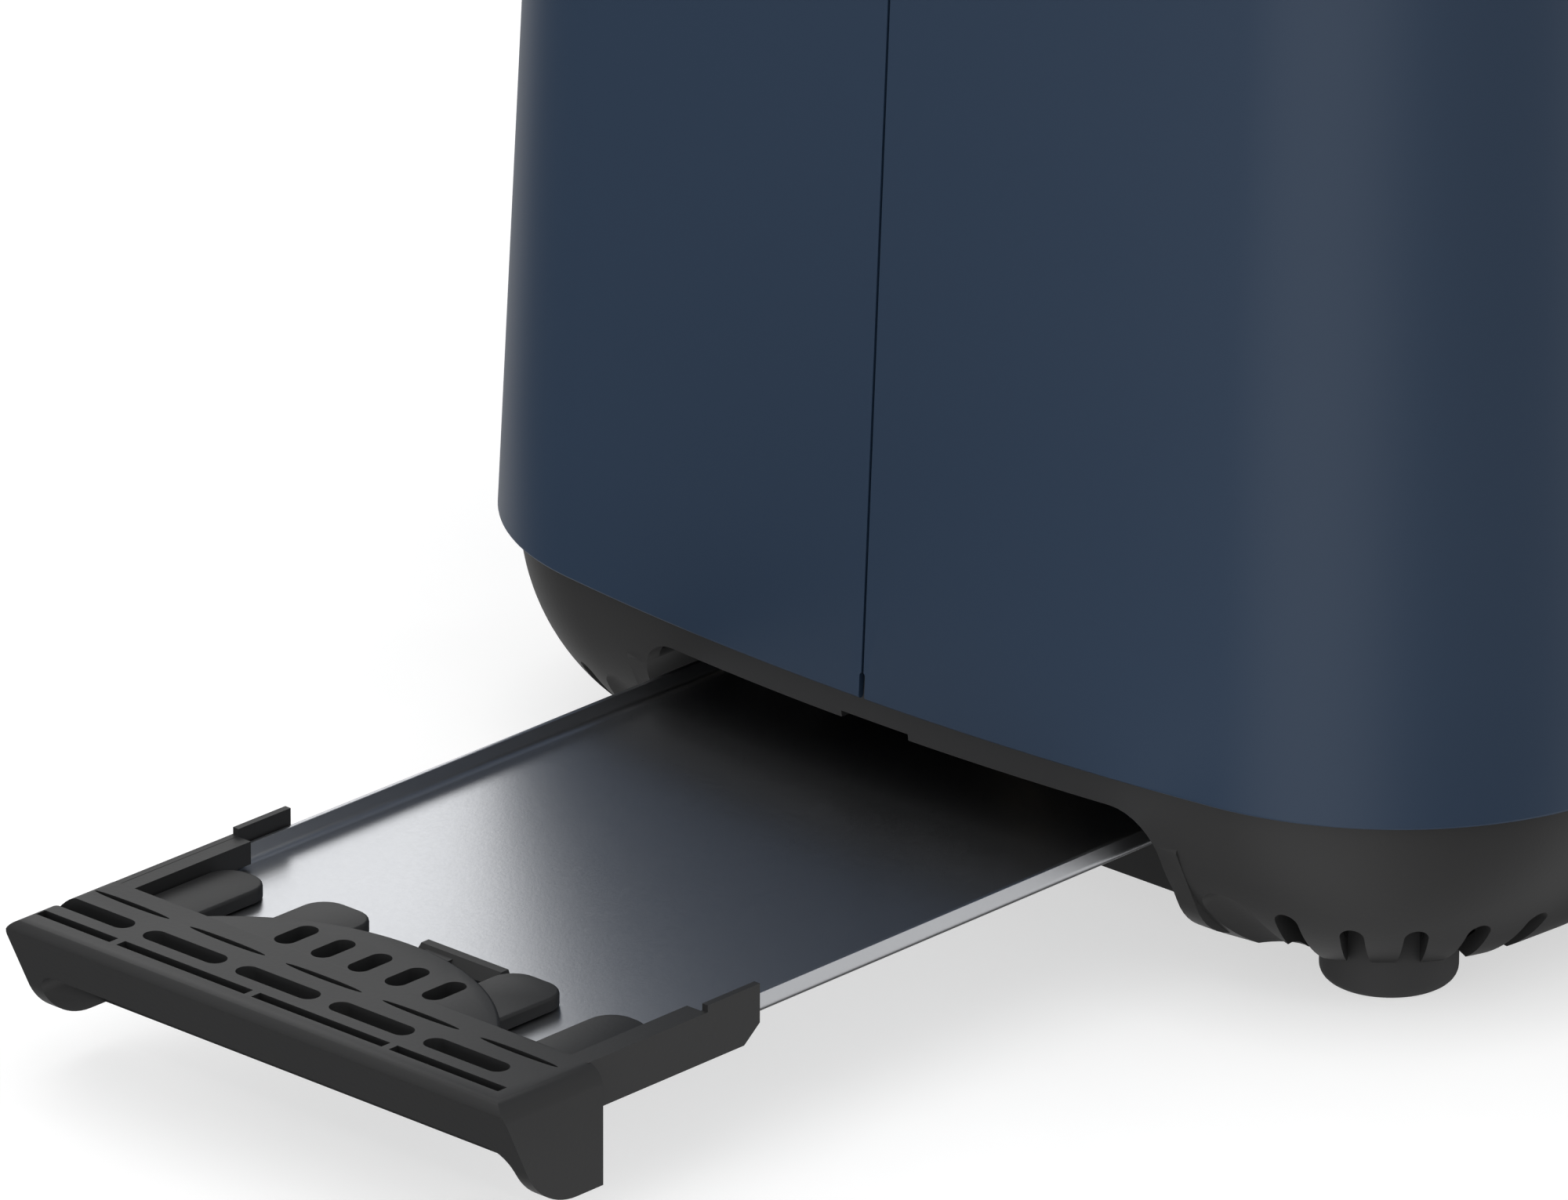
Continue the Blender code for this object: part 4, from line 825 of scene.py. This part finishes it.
def panel_band(outset, inset, low, high):
    """A band of wall that follows the shell between two heights, proud of it by outset."""
    return carried_mesh(
        [(draft_inset(low) - outset, low), (draft_inset(high) - outset, high),
         (draft_inset(high) + inset, high), (draft_inset(low) + inset, low)],
        ring=True,
    )


def make_control_panel():
    """The panel: a plate in front of the shell and a tongue in its window, both following its curve."""
    face = slab_mesh(rounded_rectangle(34.0, 60.0, 9.0, (0.0, PANEL_Z), 12), 120, 170, "Y")
    plate = combined(panel_band(1.8, -GAP, 30.0, 165.0), face, "INTERSECT")
    throat = slab_mesh(rounded_rectangle(29.6, 55.6, 5.6, (0.0, PANEL_Z)), 120, 170, "Y")
    tongue = combined(panel_band(1.0, 2.6, 30.0, 165.0), throat, "INTERSECT")
    panel = combined(plate, tongue, "UNION")
    cutters = [slab_mesh(stadium(33.5, 2.3, (0.0, 114.0), "y"), 130, 170, "Y")]
    for k in (-1, 0, 1):
        x = k * BUTTON_PITCH
        cutters.append(rod_mesh((x, 130, BUTTON_Z), (x, 170, BUTTON_Z), 5.3, 48))
    cutters.append(rod_mesh((0, 130, KNOB_Z), (0, 170, KNOB_Z), 3.4, 32))
    panel = cut_away(panel, *cutters)
    piece("control_fascia", panel, "trim", "housing", ["control_panel"], soft_edge=0.45,
          sharp=32.0)


def panel_face(x, z):
    """How far forward the panel's face is: the front arc, drawn in by the draft less its thickness."""
    reach = END_RADIUS - draft_inset(z) + 1.8
    return BODY_LENGTH / 2 - END_RADIUS + np.sqrt(reach**2 - x**2)


def raised_mark(outline):
    """A flat mark a tenth of a millimetre proud of the panel, which takes up the panel's curve."""
    mesh = slab_mesh(outline, -0.5, 0.1, "Y")
    points = np.zeros(len(mesh.vertices) * 3)
    mesh.vertices.foreach_get("co", points)
    points = points.reshape(-1, 3)
    points[:, 1] += panel_face(points[:, 0], points[:, 2])
    mesh.vertices.foreach_set("co", points.ravel())
    return mesh


def make_dial_marks():
    """Seven ticks round the browning knob that grow with the setting, and dots over the outer buttons."""
    marks = []
    for k in range(7):
        a = math.radians(-135.0 + 45.0 * k)
        along = np.array([math.sin(a), math.cos(a)])
        across = np.array([along[1], -along[0]]) * 0.4
        near, far = along * 14.6, along * (15.8 + 0.3 * k)
        outline = np.array([near - across, near + across, far + across, far - across]) + (0.0, KNOB_Z)
        marks.append(raised_mark(outline[:, :2]))
    for k in (-1, 1):
        for n in range(k + 2):
            x = k * BUTTON_PITCH + (n - (k + 1) / 2) * 2.2
            marks.append(raised_mark(rounded_rectangle(0.6, 0.6, 0.59, (x, BUTTON_Z + 8.6), 6)))
    piece("dial_marks", joined(*marks), "marks", "housing")


def make_lever_knob():
    """The thumb piece: a rounded bar with a rolled front rim, dished on top by a lying cylinder."""
    outline = rounded_rectangle(15.0, 6.5, 5.5, (0.0, LEVER_UP), 12)
    bar = slab_mesh(outline, 149.4, BODY_LENGTH / 2 + 16.0, "Y", 0.8, 2.4, 7)
    dish = rod_mesh((-20.0, 157.5, LEVER_UP + 21.0), (20.0, 157.5, LEVER_UP + 21.0), 16.0, 96)
    piece("thumb_piece", cut_away(bar, dish), "knob", "carriage", ["lever_knob"],
          soft_edge=0.5, sharp=32.0)


def make_buttons():
    """Push buttons turned from a domed profile with a fine ring round the finger rest."""
    profile = [(0.0, 2.2), (1.5, 2.23), (2.8, 2.36), (3.1, 2.6), (3.9, 2.55), (4.5, 2.25), (4.85, 1.8),
               (5.0, 1.2), (5.0, -4.0), (2.0, -4.0), (2.0, -24.0), (0.0, -24.0)]
    front = BODY_LENGTH / 2 - draft_inset(BUTTON_Z) + 1.8
    for k, name in enumerate(("cancel", "defrost", "reheat")):
        x = (k - 1) * BUTTON_PITCH
        mesh = turned_mesh(profile, (x, front, BUTTON_Z), (0, 1, 0), 64)
        piece(f"{name}_cap", mesh, "knob", f"{name}_button", [f"{name}_button"], sharp=40.0)


def make_browning_knob():
    """The browning dial: a fluted grip, a rolled face and a groove with a pale pointer in it."""
    radius = 12.5
    back = BODY_LENGTH / 2 - draft_inset(KNOB_Z - radius) + 1.8 + 0.6
    end = 127.6 - back
    a = np.linspace(0.0, math.pi / 2, 7)
    rim = np.stack([9.6 + 1.4 * np.sin(a), 10.1 + 1.4 * np.cos(a)], axis=1)
    grip = np.stack([np.linspace(11.02, 12.0, 9), np.linspace(9.9, 1.6, 9)], axis=1)
    profile = np.concatenate([[(0.0, 11.3), (5.0, 11.35)], rim, grip,
                              [(radius, 0.9), (radius, 0.0), (3.0, 0.0), (3.0, end), (0.0, end)]])
    knob = turned_mesh(profile, (0.0, back, KNOB_Z), (0, 1, 0), 224, 28, 0.45, (1.7, 9.95))
    knob = cut_away(knob, box_mesh((-0.6, back + 8.0, KNOB_Z + 4.0), (0.6, back + 15.0, KNOB_Z + 14.0)))
    piece("browning_dial", knob, "knob", "browning_knob", ["browning_knob"], sharp=36.0)
    pointer = box_mesh((-0.55, back + 7.5, KNOB_Z + 4.05), (0.55, back + 10.9, KNOB_Z + 10.6))
    piece("dial_pointer", pointer, "marks", "browning_knob", soft_edge=0.1)


# ---------------------------------------------------------------- inside

def make_heating_ribbons():
    """A flat ribbon wound round each mica board.

    Its path goes round the board's rounded rectangle 18 times and climbs evenly; its four corners
    lie 0.05 and 0.2 mm off the board and 0.8 mm above and below the path.
    """
    turns = 18
    for name in ("outer_left", "inner_left", "inner_right", "outer_right"):
        low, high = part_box(f"heater_board_{name}")
        middle = np.array([(low.x + high.x) / 2, (low.y + high.y) / 2]) / MM - PLACE[:2]
        half_y = (high.y - low.y) / 2 / MM
        strands = []
        for offset, lift in ((0.05, -0.8), (0.2, -0.8), (0.2, 0.8), (0.05, 0.8)):
            loop = rounded_rectangle(0.4 + offset, half_y + offset, 0.2 + offset, middle, 3)
            around = np.tile(loop, (turns, 1))
            climb = np.linspace(42.0, 156.0, len(around))[:, None] + lift
            strands.append(np.concatenate([around, climb], axis=1))
        ribbon = grid_mesh(np.stack(strands, axis=1), close_columns=True, caps=True)
        piece(f"heating_ribbon_{name}", ribbon, "ribbon", "housing")


def make_wire_grids():
    """The bread grids in round wire: five uprights and two long wires each."""
    for name, x in (("outer_left", -42.0), ("inner_left", -5.6), ("inner_right", 5.6), ("outer_right", 42.0)):
        uprights = (-82, -45, -8, 29, 66)
        wires = [tube_mesh([(x, y, 36.0), (x, y, 99.0), (x, y, 162.0)], 0.9, 12) for y in uprights]
        wires += [tube_mesh([(x, -84.0, z), (x, -8.0, z), (x, 68.0, z)], 0.9, 12) for z in (44.0, 152.0)]
        piece(f"wire_grid_{name}", joined(*wires), "wire", f"grid_{name}",
              [f"bread_grid_{name}"], sharp=50.0)


def make_return_spring():
    """The return spring: a helix of eleven turns."""
    x, y = -20.0, 86.5
    low, high = 14.7, 90.7
    turns = 11
    radius = 3.7
    turn = np.linspace(0.0, 2 * turns * math.pi, turns * 26 + 1)
    height = low + (high - low) * turn / turn[-1]
    path = np.stack([x + radius * np.cos(turn), y + radius * np.sin(turn), height], axis=1)
    made = piece("coil_spring", tube_mesh(path, 0.6, 10), "wire", "housing", ["return_spring"],
                 sharp=60.0)
    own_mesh(made)


def make_cord_bushing():
    """The bushing in the base's wall, turned, with a rolled collar and a groove."""
    profile = [(2.4, 6.5), (3.0, 6.55), (3.6, 6.4), (4.0, 5.9), (4.8, 4.6), (5.6, 4.1), (6.0, 3.7),
               (6.0, 2.2), (5.6, 2.0), (5.6, 1.4), (6.0, 1.2), (6.0, -8.0), (2.4, -8.0), (2.4, 6.5)]
    mesh = turned_mesh(profile, (-86.0, CORD_Y, CORD_Z), (-1, 0, 0), 48)
    piece("lead_bushing", mesh, "rubber", "housing", ["cord_bushing"], sharp=40.0)


PARTS_BY_FINISH = {
    "paint": ("seam_strip",),
    "zinc": ("tray_rail_left", "tray_rail_right", "chassis_plate_rear", "chassis_plate_front",
             "carriage_bracket", "bread_rack_left", "bread_rack_right", "keeper_plate", "electromagnet_core"),
    "reflector": ("reflector_left", "reflector_right"),
    "mica": ("heater_board_outer_left", "heater_board_inner_left", "heater_board_inner_right",
             "heater_board_outer_right"),
    "wire": ("guide_rod",),
    "copper": ("electromagnet_coil",),
    "trim": ("browning_control", "terminal_block"),
    "board": ("control_board",),
}


def finish_packed_parts():
    """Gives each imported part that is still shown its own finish."""
    for finish, names in PARTS_BY_FINISH.items():
        for name in names:
            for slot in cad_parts[name].material_slots:
                slot.material = FINISHES[finish]


# ---------------------------------------------------------------- floor, light and camera

def make_floor():
    """A wide pale floor that turns up into a low wall: flat to 11 m, then a quarter circle of 3 m.

    It glows by itself, so shadows on it are faint, and glossy parts don't mirror it.
    """
    a = np.linspace(0.0, math.pi / 2, 13)
    radius = np.concatenate([[0.0, 0.5, 2.0, 6.0], 11.0 + 3.0 * np.sin(a)])
    height = np.concatenate([np.zeros(4), 3.0 * (1 - np.cos(a))])
    angle = np.linspace(0.0, 2 * math.pi, 96, endpoint=False)
    points = np.stack([
        radius[:, None] * np.cos(angle), radius[:, None] * np.sin(angle),
        np.broadcast_to(height[:, None], (len(radius), len(angle))),
    ], axis=-1)
    mesh = bpy.data.meshes.new("floor")
    faces = grid_faces(len(radius), len(angle), close_columns=True)
    mesh.from_pydata(points.reshape(-1, 3), [], faces.tolist())
    bm = bmesh.new()
    bm.from_mesh(mesh)
    bmesh.ops.remove_doubles(bm, verts=bm.verts, dist=0.0001)
    bm.to_mesh(mesh)
    bm.free()
    mesh.shade_smooth()
    floor = bpy.data.objects.new("pale_floor", mesh)
    floor_finish = plastic("pale_floor", (0.52, 0.52, 0.52), 0.85, 60.0, 0.02, 0.1)
    shader = floor_finish.node_tree.nodes["Principled BSDF"]
    shader.inputs["Emission Color"].default_value = (1, 1, 1, 1)
    shader.inputs["Emission Strength"].default_value = 0.6
    mesh.materials.append(floor_finish)
    floor.visible_glossy = False
    bpy.context.scene.collection.objects.link(floor)


def add_panel_light(name, place, aim, size, power, mirrored=True):
    """A soft rectangular light that faces a point and isn't itself seen."""
    lamp = bpy.data.lights.new(name, "AREA")
    lamp.shape = "RECTANGLE"
    lamp.size, lamp.size_y = size
    lamp.energy = power
    made = bpy.data.objects.new(name, lamp)
    made.location = place
    made.rotation_euler = (Vector(aim) - Vector(place)).to_track_quat("-Z", "Y").to_euler()
    made.visible_camera = False
    made.visible_glossy = mirrored
    bpy.context.scene.collection.objects.link(made)


def make_soft_room():
    """A pale room: bright above the horizon and dim below it, with soft glows low at three bearings.

    A bearing is in degrees from the rear, turning towards +X. Each glow is full where the cosine of
    the angle between a direction's bearing and its own is above one limit, and fades out at another.
    """
    world = bpy.data.worlds.new("soft_room")
    world.use_nodes = True
    tree = world.node_tree
    direction = chain(tree, "ShaderNodeTexCoord").outputs["Generated"]
    parts = chain(tree, "ShaderNodeSeparateXYZ", [("Vector", direction)])
    level = chain(tree, "ShaderNodeVectorMath", [(0, direction), (1, (1.0, 1.0, 0.0))], operation="MULTIPLY")
    level = chain(tree, "ShaderNodeVectorMath", [(0, level.outputs[0])], operation="NORMALIZE")
    total = 0.05
    glows = ((12.0, 0.79, 0.98, 1.0), (238.0, 0.84, 0.97, 0.6), (140.0, 0.84, 0.97, 0.9))
    for degrees, start, full, most in glows:
        bearing = math.radians(degrees)
        way = (math.sin(bearing), -math.cos(bearing), 0.0)
        toward = chain(tree, "ShaderNodeVectorMath", [(0, level.outputs[0]), (1, way)],
                       operation="DOT_PRODUCT")
        glow = chain(tree, "ShaderNodeMapRange", [
            ("Value", toward.outputs["Value"]), ("From Min", start), ("From Max", full), ("To Max", most),
        ], interpolation_type="SMOOTHSTEP")
        lit = chain(tree, "ShaderNodeMath", [(0, glow.outputs["Result"]), (1, total)], operation="ADD")
        total = lit.outputs[0]
    above = chain(tree, "ShaderNodeMapRange", [
        ("Value", parts.outputs["Z"]), ("From Min", -0.02), ("From Max", 0.08),
    ], interpolation_type="SMOOTHSTEP")
    strength = chain(tree, "ShaderNodeMix", [("Factor", above.outputs["Result"]), ("A", total), ("B", 0.72)])
    background = tree.nodes["Background"]
    background.inputs["Color"].default_value = (1.0, 1.0, 1.0, 1.0)
    tree.links.new(strength.outputs["Result"], background.inputs["Strength"])
    return world


def add_lights():
    bpy.context.scene.world = make_soft_room()
    middle = (0.0, 0.0, 0.08)
    add_panel_light("overhead", (0.2, -0.4, 3.0), middle, (3.0, 3.0), 32.0)
    add_panel_light("low_front", (-0.5, -2.5, 0.35), middle, (1.8, 0.6), 13.0, False)
    add_panel_light("far_side", (-2.2, 1.6, 1.6), middle, (1.6, 1.2), 6.5)


def add_camera():
    """A long lens: placed from the rear apex of the shell's lower edge, and turned by three angles."""
    azimuth, elevation, roll = np.radians([42.805, 22.1725, -0.2255])
    right = Vector((math.cos(azimuth), math.sin(azimuth), 0.0))
    level = math.cos(elevation)
    ahead = Vector((-math.sin(azimuth) * level, math.cos(azimuth) * level, -math.sin(elevation)))
    down = ahead.cross(right)
    side = right * math.cos(roll) + down * math.sin(roll)
    lower = down * math.cos(roll) - right * math.sin(roll)
    apex = Vector((0.0, SHELL_LOW.y, SHELL_LOW.z))
    lens_data = bpy.data.cameras.new("long_lens")
    lens_data.lens = 392.3
    lens_data.sensor_width = 36.0
    lens_data.clip_start = 0.1
    lens_data.clip_end = 60.0
    camera = bpy.data.objects.new("camera", lens_data)
    turn = Matrix((side, -lower, -ahead)).transposed().to_4x4()
    camera.matrix_world = Matrix.Translation(apex + Vector((1.34079, -1.46202, 0.82191))) @ turn
    bpy.context.scene.collection.objects.link(camera)
    bpy.context.scene.camera = camera


make_floor()
add_lights()
add_camera()
make_shell()
make_base()
make_feet()
make_tray_handle()
make_tray_pan()
make_top_cover()
make_slot_plate()
make_control_panel()
make_dial_marks()
make_lever_knob()
make_buttons()
make_browning_knob()
make_heating_ribbons()
make_wire_grids()
make_return_spring()
make_cord_bushing()
finish_packed_parts()
bpy.context.scene.view_settings.view_transform = "Standard"
